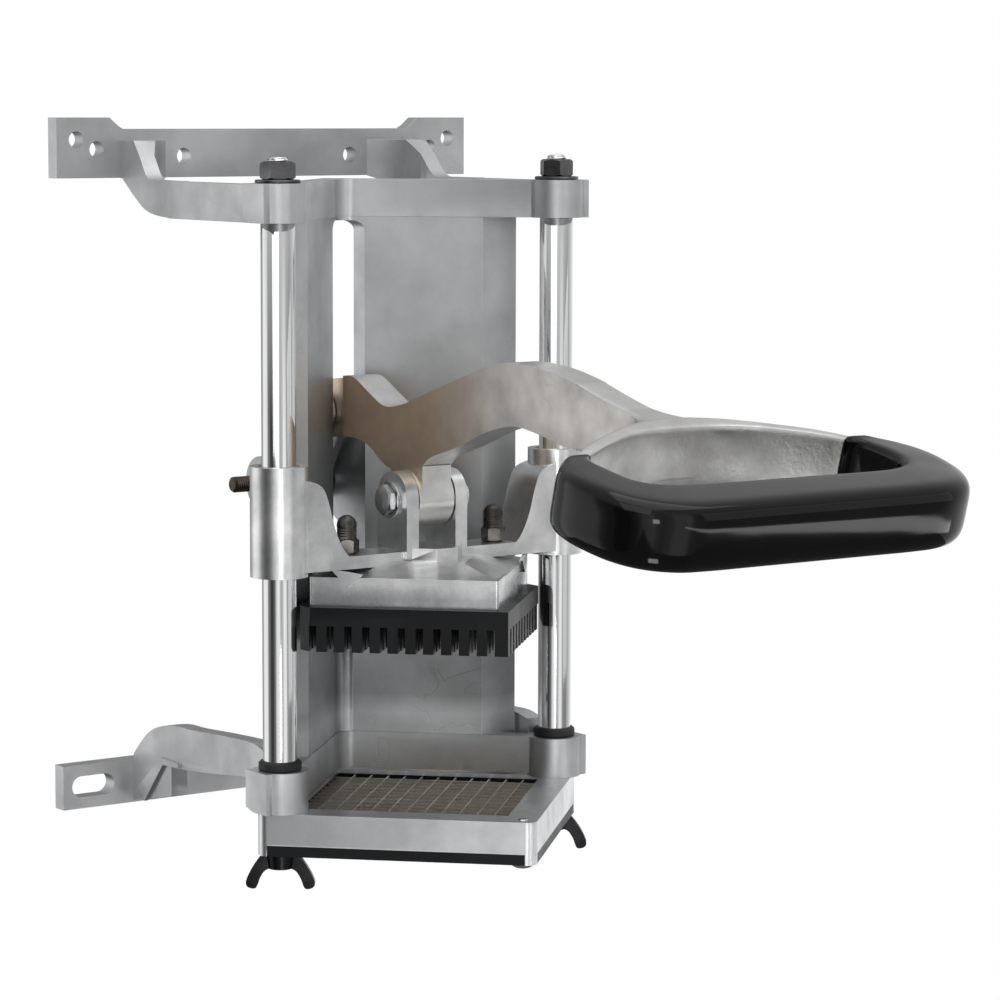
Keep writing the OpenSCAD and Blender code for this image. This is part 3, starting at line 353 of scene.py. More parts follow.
@dataclass
class Mixture:
    """One material's tone, bump height and roughness, as its finish adds to them in turn."""

    wires: Wiring
    finish: Finish
    place: Socket
    blotch: Socket
    tone: Socket
    height: Socket
    rough: Socket

    def sides(self) -> None:
        """Puts the side tones, a painted reflection, on sides whose normal's X passes 0.86 to 0.97:
        grey, turning warm towards the rear. It also makes the height of upright walls rougher."""
        wires, finish = self.wires, self.finish
        facing = wires.parts(wires.add("ShaderNodeTexCoord").outputs["Normal"])
        y = wires.parts(self.place)[1]
        flat = wires.ramp(wires.maths("ABSOLUTE", facing[0]), 0.86, 0.97)
        behind = wires.ramp(y, finish.side_reflection_end - 0.012, finish.side_reflection_end)
        share = wires.maths("MULTIPLY", flat, behind)
        # A painted reflection on the flanks: grey, turning warm towards the rear.
        plain = wires.blend(self.blotch, finish.side_reflection_dark, finish.side_reflection_light)
        brown_reflection = wires.blend(self.blotch, finish.rear_reflection_dark, finish.rear_reflection_light)
        side = wires.blend(wires.ramp(y, *finish.rear_reflection_at), plain, brown_reflection)
        slope = wires.maths("MAXIMUM", wires.maths("ABSOLUTE", facing[2]), share)
        wall = wires.ramp(slope, 0.45, 0.80, finish.wall_relief, 1.0)
        self.tone = wires.blend(share, self.tone, side)
        self.height = wires.maths("MULTIPLY", self.height, wall)

    def folds(self, group: bpy.types.NodeTree) -> None:
        """Adds cold folds: thin lines that are darker and lower than the rest.

        Args:
            group: the group that gives their mask.
        """
        wires, finish = self.wires, self.finish
        mask = wires.add("ShaderNodeGroup", {"Vector": self.place, "Scale": finish.blotch * 1.1},
                         node_tree=group).outputs[0]
        self.tone = wires.blend(wires.maths("MULTIPLY", mask, 0.45), self.tone, finish.dark)
        self.height = wires.maths("SUBTRACT", self.height, wires.maths("MULTIPLY", mask, 0.5))

    def painted_shade(self) -> None:
        """Paints shade: the tone times painted_shade_tone between the middle two of the finish's
        four heights.
        """
        wires = self.wires
        above, top, low, below = self.finish.painted_shade
        z = wires.parts(self.place)[2]
        share = wires.maths("MULTIPLY", wires.ramp(z, above, top), wires.ramp(z, below, low))
        dim = wires.ramp(share, 0.0, 1.0, 1.0, self.finish.painted_shade_tone)
        self.tone = wires.add("ShaderNodeVectorMath", {0: self.tone, "Scale": dim},
                              operation="SCALE").outputs[0]

    def rise(self) -> None:
        """Makes the upper part paler, and at least as rough as rise_rough."""
        wires, finish = self.wires, self.finish
        z = wires.parts(self.place)[2]
        share = wires.ramp(z, *finish.rise)
        raised = wires.blend(self.blotch, finish.light, finish.rise_tone)
        self.tone = wires.blend(share, self.tone, raised)
        least = wires.maths("MULTIPLY", share, finish.rise_rough)
        self.rough = wires.maths("MAXIMUM", self.rough, least)


@dataclass
class PaintShop:
    """Makes each finish into a material once."""

    groups: EffectGroups = field(default_factory=EffectGroups)
    made: dict[str, bpy.types.Material] = field(default_factory=dict)

    def material(self, finish: Finish) -> bpy.types.Material:
        """Gives the material of a finish.

        Args:
            finish: the finish.

        Returns:
            Its material, made on first use.
        """
        if finish.name not in self.made:
            self.made[finish.name] = self.build(finish)
        return self.made[finish.name]

    def build(self, finish: Finish) -> bpy.types.Material:
        """Wires one material: blotched tone, roughness that follows it, and a fine bump.

        Args:
            finish: the finish to make.

        Returns:
            The new material.
        """
        material = bpy.data.materials.new(finish.name)
        wires = Wiring.cleared(material)
        place = wires.add("ShaderNodeTexCoord").outputs["Object"]
        spread = wires.add("ShaderNodeMapping", {"Vector": place, "Scale": finish.stretch})
        grain = wires.add("ShaderNodeGroup",
                          {"Vector": spread.outputs[0], "Blotch": finish.blotch,
                           "Grain": finish.grain}, node_tree=self.groups.grain())
        blotch = grain.outputs["Tone"]
        tone = wires.blend(blotch, finish.dark, finish.light)
        rough = wires.ramp(blotch, 0.0, 1.0, finish.rough, finish.smooth)
        mixture = Mixture(wires, finish, place, blotch, tone, grain.outputs["Height"], rough)
        # Painted reflection on the flanks.
        if finish.side_reflection_light is not None:
            mixture.sides()
        if finish.skin is Skin.CAST:
            mixture.folds(self.groups.folds())
        if finish.painted_shade is not None:
            mixture.painted_shade()
        if finish.rise is not None:
            mixture.rise()
        bump = wires.add("ShaderNodeBump", {"Height": mixture.height, "Strength": 0.6,
                                            "Distance": finish.relief})
        shader = wires.add("ShaderNodeBsdfPrincipled", {
            "Base Color": mixture.tone, "Roughness": mixture.rough, "Normal": bump.outputs[0],
            "Metallic": finish.metallic, "Specular IOR Level": finish.specular})
        wires.add("ShaderNodeOutputMaterial", {0: shader.outputs[0]})
        return material


def grid_faces(rows: int, columns: int) -> np.ndarray:
    """Numbers the quads of a grid of points whose last column joins the first.

    Args:
        rows: points along the path.
        columns: points round the section.

    Returns:
        An array of four point numbers for each quad.
    """
    i, j = np.meshgrid(np.arange(rows - 1), np.arange(columns), indexing="ij")
    k = (j + 1) % columns
    return np.stack([i * columns + j, i * columns + k, (i + 1) * columns + k,
                     (i + 1) * columns + j], -1).reshape(-1, 4)


@dataclass
class Workshop:
    """Turns point grids and CAD nodes into finished pieces that ride on their bodies.

    Grid points closer than grid_weld and CAD points closer than cad_weld become one, and so do
    CAD faces within flat degrees. A softened edge has edge_steps faces, and edges flatter than
    least_edge degrees stay as they are.
    """

    frame: dict
    paint: PaintShop = field(default_factory=PaintShop)
    grid_weld: float = 0.5e-5
    cad_weld: float = 1e-5
    hair: float = 1e-6
    flat: float = 0.6
    edge_steps: int = 2
    least_edge: float = 28.0

    def finish_piece(self, mesh: bpy.types.Mesh, name: str, body: str, finish: Finish,
                     slot: str, node: str, bend: float = 40.0) -> bpy.types.Object:
        """Gives a mesh its material and body, and puts it in the scene.

        Args:
            mesh: the finished mesh, in metres.
            name: the piece's name.
            body: the CAD body that it rides on.
            finish: its surface finish.
            slot: the record's material slot; not used.
            node: the CAD node that it stands for.
            bend: edges sharper than this many degrees stay crisp.

        Returns:
            The new object.
        """
        mesh.materials.clear()
        mesh.materials.append(self.paint.material(finish))
        mesh.shade_smooth()
        mesh.set_sharp_from_angle(angle=math.radians(bend))
        piece = bpy.data.objects.new(name, mesh)
        bpy.context.scene.collection.objects.link(piece)
        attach(piece, body)
        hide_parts(node)
        LOG.info("%s rides on %s, %d faces", name, body, len(mesh.polygons))
        return piece

    def from_grids(self, grids: list[np.ndarray], name: str) -> bpy.types.Mesh:
        """Joins point grids into one mesh, closes their poles and turns the faces outwards.

        Args:
            grids: arrays of shape (rows, columns, 3) in mm, each of which wraps round.
            name: the mesh's name.

        Returns:
            The mesh, in metres.
        """
        points, faces, count = [], [], 0
        for grid in grids:
            points.append(grid.reshape(-1, 3) * MM)
            faces.append(grid_faces(*grid.shape[:2]) + count)
            count += len(points[-1])
        mesh = bpy.data.meshes.new(name)
        mesh.from_pydata(np.concatenate(points), [], np.concatenate(faces).tolist())
        shape = bmesh.new()
        shape.from_mesh(mesh)
        bmesh.ops.remove_doubles(shape, verts=shape.verts, dist=self.grid_weld)
        bmesh.ops.dissolve_degenerate(shape, dist=self.hair, edges=shape.edges)
        bmesh.ops.recalc_face_normals(shape, faces=shape.faces)
        shape.to_mesh(mesh)
        shape.free()
        return mesh

    def soften(self, node: str, body: str, finish: Finish, slot: str, width: float,
               front: float | None = None) -> None:
        """Copies a CAD node, merges its loose triangles and rounds its edges.

        Args:
            node: the CAD node that the copy stands for.
            body: the body that it rides on.
            finish: its surface finish.
            slot: the record's material slot; not used.
            width: width of the rounding, in mm.
            front: a Y in metres in front of which the copy is cut off and closed, or None.
        """
        mesh = self.frame["nodes"][node].data.copy()
        mesh.name = f"{node}_soft"
        shape = bmesh.new()
        shape.from_mesh(mesh)
        bmesh.ops.remove_doubles(shape, verts=shape.verts, dist=self.cad_weld)
        if front is not None:
            cut = bmesh.ops.bisect_plane(
                shape, geom=[*shape.verts, *shape.edges, *shape.faces], dist=self.hair,
                plane_co=(0.0, front, 0.0), plane_no=(0.0, -1.0, 0.0), clear_outer=True)
            rim = [item for item in cut["geom_cut"] if isinstance(item, bmesh.types.BMEdge)]
            bmesh.ops.edgeloop_fill(shape, edges=rim)
        bmesh.ops.dissolve_limit(shape, angle_limit=math.radians(self.flat), verts=shape.verts,
                                 edges=shape.edges)
        shape.to_mesh(mesh)
        shape.free()
        piece = self.finish_piece(mesh, f"{node}_cast", body, finish, slot, node,
                                  self.least_edge + 4)
        bevel = piece.modifiers.new("soft edges", "BEVEL")
        bevel.width = width * MM
        bevel.segments = self.edge_steps
        bevel.limit_method = "ANGLE"
        bevel.angle_limit = math.radians(self.least_edge)
        bevel.harden_normals = True
        bevel.use_clamp_overlap = True


def circle(sides: int) -> np.ndarray:
    """Gives evenly spaced angles round a circle."""
    return np.linspace(0.0, 2 * np.pi, sides, endpoint=False)


def squared(angle: np.ndarray, power: np.ndarray) -> tuple[np.ndarray, np.ndarray]:
    """Points of |a|^n + |b|^n = 1: a is sign(cos t) |cos t|^(2/n), and b that of the sine."""
    c, d = np.cos(angle)[None, :], np.sin(angle)[None, :]
    return tuple(np.sign(v) * np.abs(v) ** (2.0 / power) for v in (c, d))


def turned(profile: np.ndarray, centre: np.ndarray, axis: str, sides: int = 72) -> np.ndarray:
    """Turns a profile about an axis: each point (r, h) goes round at radius r and height h.

    Args:
        profile: rows of (radius, height) in mm.
        centre: where height 0 of the axis lies, in mm.
        axis: "z" for upright, "x" for a bar along the row.
        sides: points round the circle.

    Returns:
        A grid of points that wraps round.
    """
    angle = circle(sides)
    radius, height = profile[:, :1], profile[:, 1:2] + 0 * angle
    a, b = radius * np.cos(angle), radius * np.sin(angle)
    order = (a, b, height) if axis == "z" else (height, a, b)
    return np.stack(order, -1) + centre


def threaded(radius: float, low: float, high: float, pitch: float, depth: float,
             centre: np.ndarray, axis: str) -> np.ndarray:
    """A screw thread with a chamfered tip: the radius falls by depth in a V once each pitch.

    Args:
        radius: the crest radius in mm.
        low: where the thread starts along the axis.
        high: where it ends, with the chamfer.
        pitch: distance between crests.
        depth: depth of the V.
        centre: where height 0 of the axis lies.
        axis: "z" or "x".

    Returns:
        A grid of points that wraps round and closes at the tip.
    """
    rows = max(int(abs(high - low) / pitch * 8), 8)
    along = np.linspace(low, high, rows)[:, None]
    angle = circle(THREAD_SIDES)[None, :]
    phase = (along / pitch - angle / (2 * np.pi)) % 1.0
    vee = depth * (1.0 - np.abs(2.0 * phase - 1.0))
    near_tip = np.clip(np.abs(high - along) / (1.4 * depth), 0.0, 1.0)
    r = (radius - vee) * (1 - 0.22 * (1 - near_tip))
    grid = np.stack([r * np.cos(angle), r * np.sin(angle), along + 0 * angle], -1)
    centred = np.array([0.0, 0.0, 1.0])
    grid = np.concatenate([grid[:1] * centred, grid, grid[-1:] * centred])
    return (grid if axis == "z" else grid[..., [2, 0, 1]]) + centre


def hexagon(flats: float, low: float, high: float, bore: float, centre: np.ndarray, axis: str,
            turn: float = 0.0) -> np.ndarray:
    """A hexagonal nut or head: radius is half the flats over the cosine of the angle from a flat,
    and the corners drop at 30 degrees from a circle that lies NUT_CHAMFER inside the flats.

    Args:
        flats: size across the flats in mm.
        low: one end along the axis.
        high: the other end.
        bore: radius of the hole, or 0.
        centre: where height 0 of the axis lies.
        axis: "z" or "x".
        turn: turn about the axis in degrees.

    Returns:
        A grid of points that wraps round.
    """
    angle = circle(72)
    from_flat = (angle + np.pi / 6) % (np.pi / 3) - np.pi / 6
    outer = flats / 2 / np.cos(from_flat)
    start = np.full_like(outer, flats / 2 - NUT_CHAMFER)
    drop = (outer - start) * math.tan(math.radians(30))
    hole = np.full_like(outer, bore)
    flat = np.ones_like(outer)
    rings = [(hole, low * flat), (start, low * flat), (outer, low + drop), (outer, high - drop),
             (start, high * flat), (hole, high * flat)]
    if bore > 0:
        rings.append(rings[0])
    spin = angle + math.radians(turn)
    grid = np.stack([np.stack([r * np.cos(spin), r * np.sin(spin), h], -1) for r, h in rings])
    return (grid if axis == "z" else grid[..., [2, 0, 1]]) + centre


def bar(radius: float, low: float, high: float) -> np.ndarray:
    """Gives the profile of a plain round bar with flat ends, as rows of (radius, height)."""
    return np.array([[0, low], [radius, low], [radius, high], [0, high]])


def washer(bore: float, outer: float, thick: float, low_edge: Pair,
           high_edge: Pair) -> np.ndarray:
    """Gives the profile of a ring whose outer corners are cut by their edges, across and up."""
    return np.array([[bore, 0.0], [outer - low_edge[0], 0.0], [outer, low_edge[1]],
                     [outer, thick - high_edge[1]], [outer - high_edge[0], thick],
                     [bore, thick], [bore, 0.0]])


@dataclass
class Fasteners:
    """Rods, nuts, washers, screws and bolts, all turned or hexagonal.

    A name in _r is a radius and one in _flats a size across the flats. Heights count from the
    lower collars' top.
    """

    shop: Workshop
    rod_x: float = 79.0
    rod_r: float = 7.95
    rod_top: float = 252.0
    stud_r: float = 4.75
    stud_pitch: float = 1.27
    stud_top: float = 281.85
    stud_low: float = -45.8
    frame_top: float = 270.0
    rod_nut_flats: float = 14.3
    rod_washer_r: float = 10.5
    rod_washer_thick: float = 1.6
    bumper_r: float = 10.0
    bumper_thick: float = 4.3
    cap_flats: float = 10.0
    cap_dome_r: float = 4.7
    cap_bore: float = 3.1
    cap_inset: float = 5.4
    pivot_z: float = 121.5
    ear_out: float = 17.2
    bolt_flats: float = 12.7
    bolt_washer_r: float = 8.75
    bolt_washer_thick: float = 1.2
    link_y: float = 98.0
    link_bolt_r: float = 3.95
    link_bolt_head: float = 5.4
    screw_head_r: float = 5.5
    screw_head_high: float = 2.6
    screw_r: float = 2.35

    def build(self) -> None:
        """Makes every fastener group."""
        self.rod(-1, "guide_rod_left")
        self.rod(1, "guide_rod_right")
        self.rod_fittings()
        self.head_fasteners()
        self.link_fasteners()
        self.screws()

    def put(self, grids: list[np.ndarray], node: str, body: str, finish: Finish,
            slot: str = "fastener_steel") -> None:
        """Makes the grids one piece that stands for a CAD node."""
        mesh = self.shop.from_grids(grids, node)
        self.shop.finish_piece(mesh, f"{node}_turned", body, finish, slot, node)

    def rod(self, side: int, node: str) -> None:
        """A ground rod with chamfered shoulders, and threads at both ends.

        Args:
            side: -1 at the left and 1 at the right.
            node: the CAD node that it stands for.
        """
        centre = row(side * self.rod_x, 0, 0)
        low, high = 0.1, self.rod_top - 0.1
        neck, rim = self.stud_r - 0.3, self.rod_r - 0.5
        body = np.array([[neck, low], [rim, low], [self.rod_r, 0.6], [self.rod_r, high - 0.6],
                         [rim, high], [neck, high]])
        self.put([turned(body, centre, "z", 96),
                  turned(bar(self.stud_r - 0.35, -20.0, 262.0), centre, "z"),
                  threaded(self.stud_r, 258.0, self.stud_top, self.stud_pitch, 0.6, centre, "z"),
                  threaded(self.stud_r, -18.0, self.stud_low, self.stud_pitch, 0.6, centre, "z")],
                 node, "frame", ROD_STEEL, "rod_steel")

    def rod_fittings(self) -> None:
        """The nuts and washers at the rods' upper ends, and the rubber rings at their feet."""
        seat = self.frame_top + self.rod_washer_thick
        ring = washer(5.0, self.rod_washer_r, self.rod_washer_thick, (0.4, 0.4), (0.4, 0.4))
        foot = washer(7.9, self.bumper_r, self.bumper_thick, (0.6, 0.6), (0.9, 0.9))
        nuts, washers, bumpers = [], [], []
        for side in (-1, 1):
            centre = row(side * self.rod_x, 0, 0)
            nuts.append(hexagon(self.rod_nut_flats, seat, seat + 8.2, 4.7, centre, "z",
                                20.0 + 15 * side))
            washers.append(turned(ring + [0, self.frame_top], centre, "z"))
            bumpers.append(turned(foot, centre, "z"))
        self.put(nuts, "rod_nuts", "frame", PLAIN_STEEL)
        self.put(washers, "rod_washers", "frame", PLAIN_STEEL)
        self.put(bumpers, "rod_bumpers", "frame", BLACK_RUBBER, "black_rubber")

    def head_fasteners(self) -> None:
        """The domed nuts on the block's studs, and the lever's bolt with its nut and washers.
        A domed nut's ridged neck steps in and out, and a quarter circle of its radius closes it."""
        low, high = (np.array(corner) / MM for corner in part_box("cap_nuts"))
        dome_r = self.cap_dome_r
        bend = np.linspace(0.0, np.pi / 2, 9)
        dome = np.stack([dome_r * np.cos(bend), 13.3 + dome_r * np.sin(bend)], -1)
        count = np.arange(9)
        ridges = np.stack([dome_r - 0.28 * (count % 2), 7.4 + 0.62 * count], -1)
        cap = np.concatenate([[[self.cap_bore, 6.5], [dome_r, 6.5]], ridges, dome])
        nuts = []
        for x in (low[0] + self.cap_inset, high[0] - self.cap_inset):
            centre = np.array([x, (low[1] + high[1]) / 2, low[2]])
            nuts.append(hexagon(self.cap_flats, 0.0, 7.0, self.cap_bore, centre, "z"))
            nuts.append(turned(cap, centre, "z", 48))
        self.put(nuts, "cap_nuts", "pusher", DARK_STEEL)
        centre = row(0, 0, self.pivot_z)
        out, thick = self.ear_out, self.bolt_washer_thick
        self.put([hexagon(self.bolt_flats, -out - 5.0, -out - thick, 0.0, centre, "x"),
                  turned(bar(4.7, -out - 1.4, out + 4.0), centre, "x"),
                  threaded(4.74, out + 3.6, out + 7.66, 1.27, 0.5, centre, "x")],
                 "lever_bolt", "pusher", BRIGHT_STEEL)
        self.put([hexagon(self.bolt_flats, out + thick, out + 6.52, 4.72, centre, "x", 12.0)],
                 "lever_bolt_nut", "pusher", BRIGHT_STEEL)
        ring = washer(4.75, self.bolt_washer_r, thick, (0.35, 0.3), (0.35, 0.3))
        self.put([turned(ring + [0, at], centre, "x") for at in (-out - thick, out)],
                 "lever_bolt_washers", "pusher", BRIGHT_STEEL)

    def link_fasteners(self) -> None:
        """The link's bolt, with threads on its free end at the left."""
        low, high = (np.array(corner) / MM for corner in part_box("link_bolt"))
        centre = row(0, self.link_y, self.pivot_z)
        start, end = low[0], high[0]
        head = end - self.link_bolt_head
        self.put([turned(bar(self.link_bolt_r - 0.05, start + 20, head + 0.2), centre, "x"),
                  threaded(self.link_bolt_r, start + 20.4, start, 1.25, 0.5, centre, "x"),
                  hexagon(self.bolt_flats, head, end, 0.0, centre, "x", 8.0)],
                 "link_bolt", "frame", BOLT_BRASS, "bolt_brass")

    def screws(self) -> None:
        """The blade frame's screws: a domed head below, and the shank's chamfered end on top.
        The dome is a quarter of an oblong circle, as wide as the head and as high."""
        low, high = (np.array(corner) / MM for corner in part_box("frame_screws"))
        top, deep = high[2], self.screw_head_high
        bend = np.linspace(0.0, np.pi / 2, 8)
        dome = np.stack([self.screw_head_r * np.sin(bend), deep - deep * np.cos(bend)], -1)
        shank = [[self.screw_r, low[2] + deep], [self.screw_r, top - 0.5], [1.9, top], [0.0, top]]
        profile = np.concatenate([dome + [0, low[2]], shank])
        ends = (low[1] + self.screw_head_r, high[1] - self.screw_head_r)
        self.put([turned(profile, np.array([0.0, y, 0.0]), "z", 48) for y in ends],
                 "frame_screws", "frame", BRIGHT_STEEL)


def eased(table: np.ndarray, steps: int) -> np.ndarray:
    """Runs a smooth curve (Catmull-Rom) through the rows of a table: between two rows it is the
    cubic whose slope at each row is half the step from the row before to the row after.

    Args:
        table: the rows to pass through.
        steps: points for each gap.

    Returns:
        The curve's rows, up to the table's last.
    """
    ends = np.concatenate([2 * table[:1] - table[1:2], table, 2 * table[-1:] - table[-2:-1]])
    t = np.linspace(0.0, 1.0, steps, endpoint=False)[None, :, None]
    p0, p1, p2, p3 = (ends[k:len(ends) - 3 + k, None, :] for k in range(4))
    curve = 0.5 * (2 * p1 + (p2 - p0) * t + (2 * p0 - 5 * p1 + 4 * p2 - p3) * t ** 2
                   + (3 * p1 - p0 - 3 * p2 + p3) * t ** 3)
    return np.concatenate([curve.reshape(-1, table.shape[1]), table[-1:]])


@dataclass
class Handle:
    """The handle's open loop, the nose that joins it to the bar, and the dipped vinyl coat.

    The loop lies in its own plane, which is tilted about X: a point (x, y, h) of that plane
    stands x across, y to the rear along the plane and h above it. Each station of its right half
    gives the inner edge (x, y), the outer edge (x, y), and how far it reaches down and up, and
    steps rows lead to the next. The coat covers coat_end stations each way, with lips of lip_rows.
    Under it the loop is thinner by tuck, up to tuck_rows before the coat's end.
    """

    shop: Workshop
    front_y: float = -274.7
    front_z: float = 136.8
    tilt: float = 15.0
    steps: int = 7
    loop_sides: int = 88
    inner_power: float = 7.0
    plain_power: float = 4.2
    coat: float = 2.0
    coat_end: float = 9.9
    lip_rows: int = 3
    tuck: float = 0.05
    tuck_rows: int = 6
    root_front: ClassVar[float] = -0.274
    stations: tuple[tuple[float, ...], ...] = (
        (0.0, 12.6, 0.0, -12.45, 12.7, 13.3), (30.0, 12.6, 30.0, -12.45, 12.7, 13.3),
        (50.0, 12.8, 54.0, -12.45, 12.7, 13.3), (60.0, 14.3, 70.5, -11.2, 12.7, 13.3),
        (67.8, 17.8, 84.0, -4.8, 12.7, 13.1), (72.8, 24.2, 92.3, 6.0, 12.7, 12.7),
        (74.6, 34.0, 96.1, 21.0, 12.7, 12.3), (74.8, 42.5, 96.2, 34.5, 12.7, 11.7),
        (74.3, 50.0, 92.5, 46.0, 12.7, 11.0), (72.3, 55.5, 85.5, 54.0, 12.8, 10.8),
        (67.8, 59.0, 77.0, 60.0, 13.4, 11.6), (61.5, 62.5, 69.0, 65.8, 14.4, 12.2),
        (54.5, 66.5, 60.5, 71.8, 15.4, 12.5), (45.8, 71.3, 50.5, 78.0, 16.6, 12.5),
        (33.5, 77.0, 38.0, 85.0, 18.0, 12.5), (20.0, 80.4, 25.0, 91.5, 19.0, 12.5),
        (8.0, 81.4, 10.0, 96.0, 19.0, 12.5), (-0.1, 81.5, -0.1, 97.0, 19.0, 12.5))
    nose_top: tuple[Pair, ...] = (
        (-127.7, 185.1), (-133.0, 184.1), (-139.3, 182.2), (-147.9, 179.8), (-156.4, 177.6),
        (-167.0, 175.2), (-179.5, 173.2), (-193.5, 170.8))
    nose_low: tuple[Pair, ...] = (
        (-127.7, 155.2), (-139.3, 153.6), (-160.0, 150.5), (-193.5, 146.5))
    nose_ends: Pair = (-128.5, -193.0)
    nose_rows: int = 60
    nose_sides: int = 96
    nose_half: float = 8.35
    flare: float = 17.0
    flare_at: float = -190.0
    flare_run: float = 6.0
    flare_most: float = 20.0
    nose_powers: tuple[Pair, ...] = ((-131.0, 15.0), (-165.0, 7.0))

    def ring(self, rows: np.ndarray, grow: np.ndarray) -> np.ndarray:
        """Rounded squares along the loop, |a|^n + |b|^n = 1. Each lies halfway between both
        edges and reaches across from one to the other, and down and up by its row. Its inner
        upper quarter is fuller than the rest.

        Args:
            rows: the stations, one row for each section.
            grow: how far each section stands out past its station, in mm.

        Returns:
            A grid of points that wraps round.
        """
        inner, outer = rows[:, :2], rows[:, 2:4]
        half = np.linalg.norm(outer - inner, axis=1) / 2
        away = (outer - inner) / (2 * half[:, None])
        angle = circle(self.loop_sides)
        full = (np.cos(angle) < 0) & (np.sin(angle) > 0)
        a, b = squared(angle, np.where(full, self.inner_power, self.plain_power)[None, :])
        across = (half + grow)[:, None] * a
        height = np.where(b > 0, (rows[:, 5] + grow)[:, None], (rows[:, 4] + grow)[:, None]) * b
        place = ((inner + outer) / 2)[:, None, :] + away[:, None, :] * across[..., None]
        x, y = place[..., 0], place[..., 1]
        cos, sin = math.cos(math.radians(self.tilt)), math.sin(math.radians(self.tilt))
        return np.stack([x, self.front_y - WALL_Y + y * cos - height * sin,
                         self.front_z + SLOT_DROP + y * sin + height * cos], -1)

    def both(self, rows: np.ndarray) -> np.ndarray:
        """Adds the mirrored left half in front of the right half's rows."""
        flip = np.array([-1.0, 1.0, -1.0, 1.0, 1.0, 1.0])
        return np.concatenate([rows[:0:-1] * flip, rows])

    def nose(self) -> np.ndarray:
        """The bar's front end: rounded oblongs, |a|^n + |b|^n = 1, whose half width flares as e
        to the distance towards the loop, with both ends drawn to a point.

        Returns:
            A grid of points that wraps round.
        """
        y = np.linspace(*self.nose_ends, self.nose_rows)
        top, low, power = (np.interp(-y, [-p[0] for p in line], [p[1] for p in line])
                           for line in (self.nose_top, self.nose_low, self.nose_powers))
        flare = self.flare * np.exp(-(y - self.flare_at) / self.flare_run)
        half = self.nose_half + np.minimum(flare, self.flare_most)
        a, b = squared(circle(self.nose_sides), power[:, None])
        rings = np.stack([half[:, None] * a, y[:, None] - WALL_Y + 0 * a,
                          ((top + low) / 2 + SLOT_DROP)[:, None] + ((top - low) / 2)[:, None] * b],
                         -1)
        tips = [np.broadcast_to(ring.mean(0), ring.shape)[None] for ring in rings[[0, -1]]]
        return np.concatenate([tips[0], rings, tips[1]])

    def build(self) -> None:
        """Makes the loop and the nose on the lever, and the coat with lips rounded as a quarter
        circle: a lip falls by 1 minus the root of 1 minus the square of how near its end is."""
        rows = eased(np.array(self.stations), self.steps)
        covered = self.coat_end * self.steps
        under = np.where(np.arange(len(rows)) < covered - self.tuck_rows, -self.tuck, 0.0)
        ring = self.ring(self.both(rows), np.concatenate([under[:0:-1], under]))
        self.put(np.concatenate([ring, ring[:1]]), "lever_loop")
        self.put(self.nose(), "lever_nose")
        coated = self.both(rows[:int(covered)])
        count = np.arange(len(coated))
        near = np.minimum(count, count[::-1])
        edge = 1.0 - np.minimum(near / self.lip_rows, 1.0)
        outer = self.ring(coated, self.coat * np.sqrt(1.0 - edge ** 2))
        inner = self.ring(coated, np.zeros(len(coated)))
        self.put(np.concatenate([outer, inner[::-1], outer[:1]]), "handle_grip_dipped",
                 BLACK_VINYL, "black_vinyl", "handle_grip", 60.0)

    def put(self, grid: np.ndarray, name: str, finish: Finish = CAST_LEVER,
            slot: str = "cast_aluminium", node: str = "lever", bend: float = 50.0) -> None:
        """Makes the grid one piece that rides on the lever."""
        mesh = self.shop.from_grids([grid], name)
        self.shop.finish_piece(mesh, name, "lever", finish, slot, node, bend)


@dataclass
class Castings:
    """The castings, the toothed block and the wing nuts, as softened copies of CAD nodes."""

    shop: Workshop

    def build(self) -> None:
        """Softens each by the radius that its edges show."""
        soften = self.shop.soften
        soften("frame", "frame", CAST_FRAME, "cast_aluminium", 1.1)
        soften("pusher_head", "pusher", CAST_HEAD, "polished_head", 1.0)
        soften("lever", "lever", CAST_LEVER, "cast_aluminium", 1.6, front=Handle.root_front)
        soften("link", "link", CAST_FRAME, "cast_aluminium", 0.6)
        soften("blade_frame", "frame", CAST_BLADE_FRAME, "cast_aluminium", 0.8)
        soften("blade_retainer", "frame", CAST_BLADE_FRAME, "cast_aluminium", 0.5)
        soften("pusher_block", "pusher", BLACK_PLASTIC, "black_plastic", 0.3)
        for nut in ("wing_nut_left", "wing_nut_right"):
            soften(nut, nut, WING_STEEL, "fastener_steel", 0.6)


class Remaining:
    """Finishes for the CAD nodes that stay as they are."""

    LOOKS: dict[str, Finish] = {
        "head_liners": BRONZE, "block_studs": PLAIN_STEEL, "link_pin": ROD_STEEL,
        "blade_spacer": BLACK_PLASTIC, "upper_blades": BLADE_STEEL, "lower_blades": BLADE_STEEL,
        "retainer_strips": BLACK_PLASTIC,
    }

    @classmethod
    def dress(cls, shop: Workshop) -> None:
        """Puts its finish on each of these nodes.

        Args:
            shop: the workshop that has the nodes and the paint.
        """
        for node, finish in cls.LOOKS.items():
            thing = shop.frame["nodes"][node]
            thing.data.materials.clear()
            thing.data.materials.append(shop.paint.material(finish))


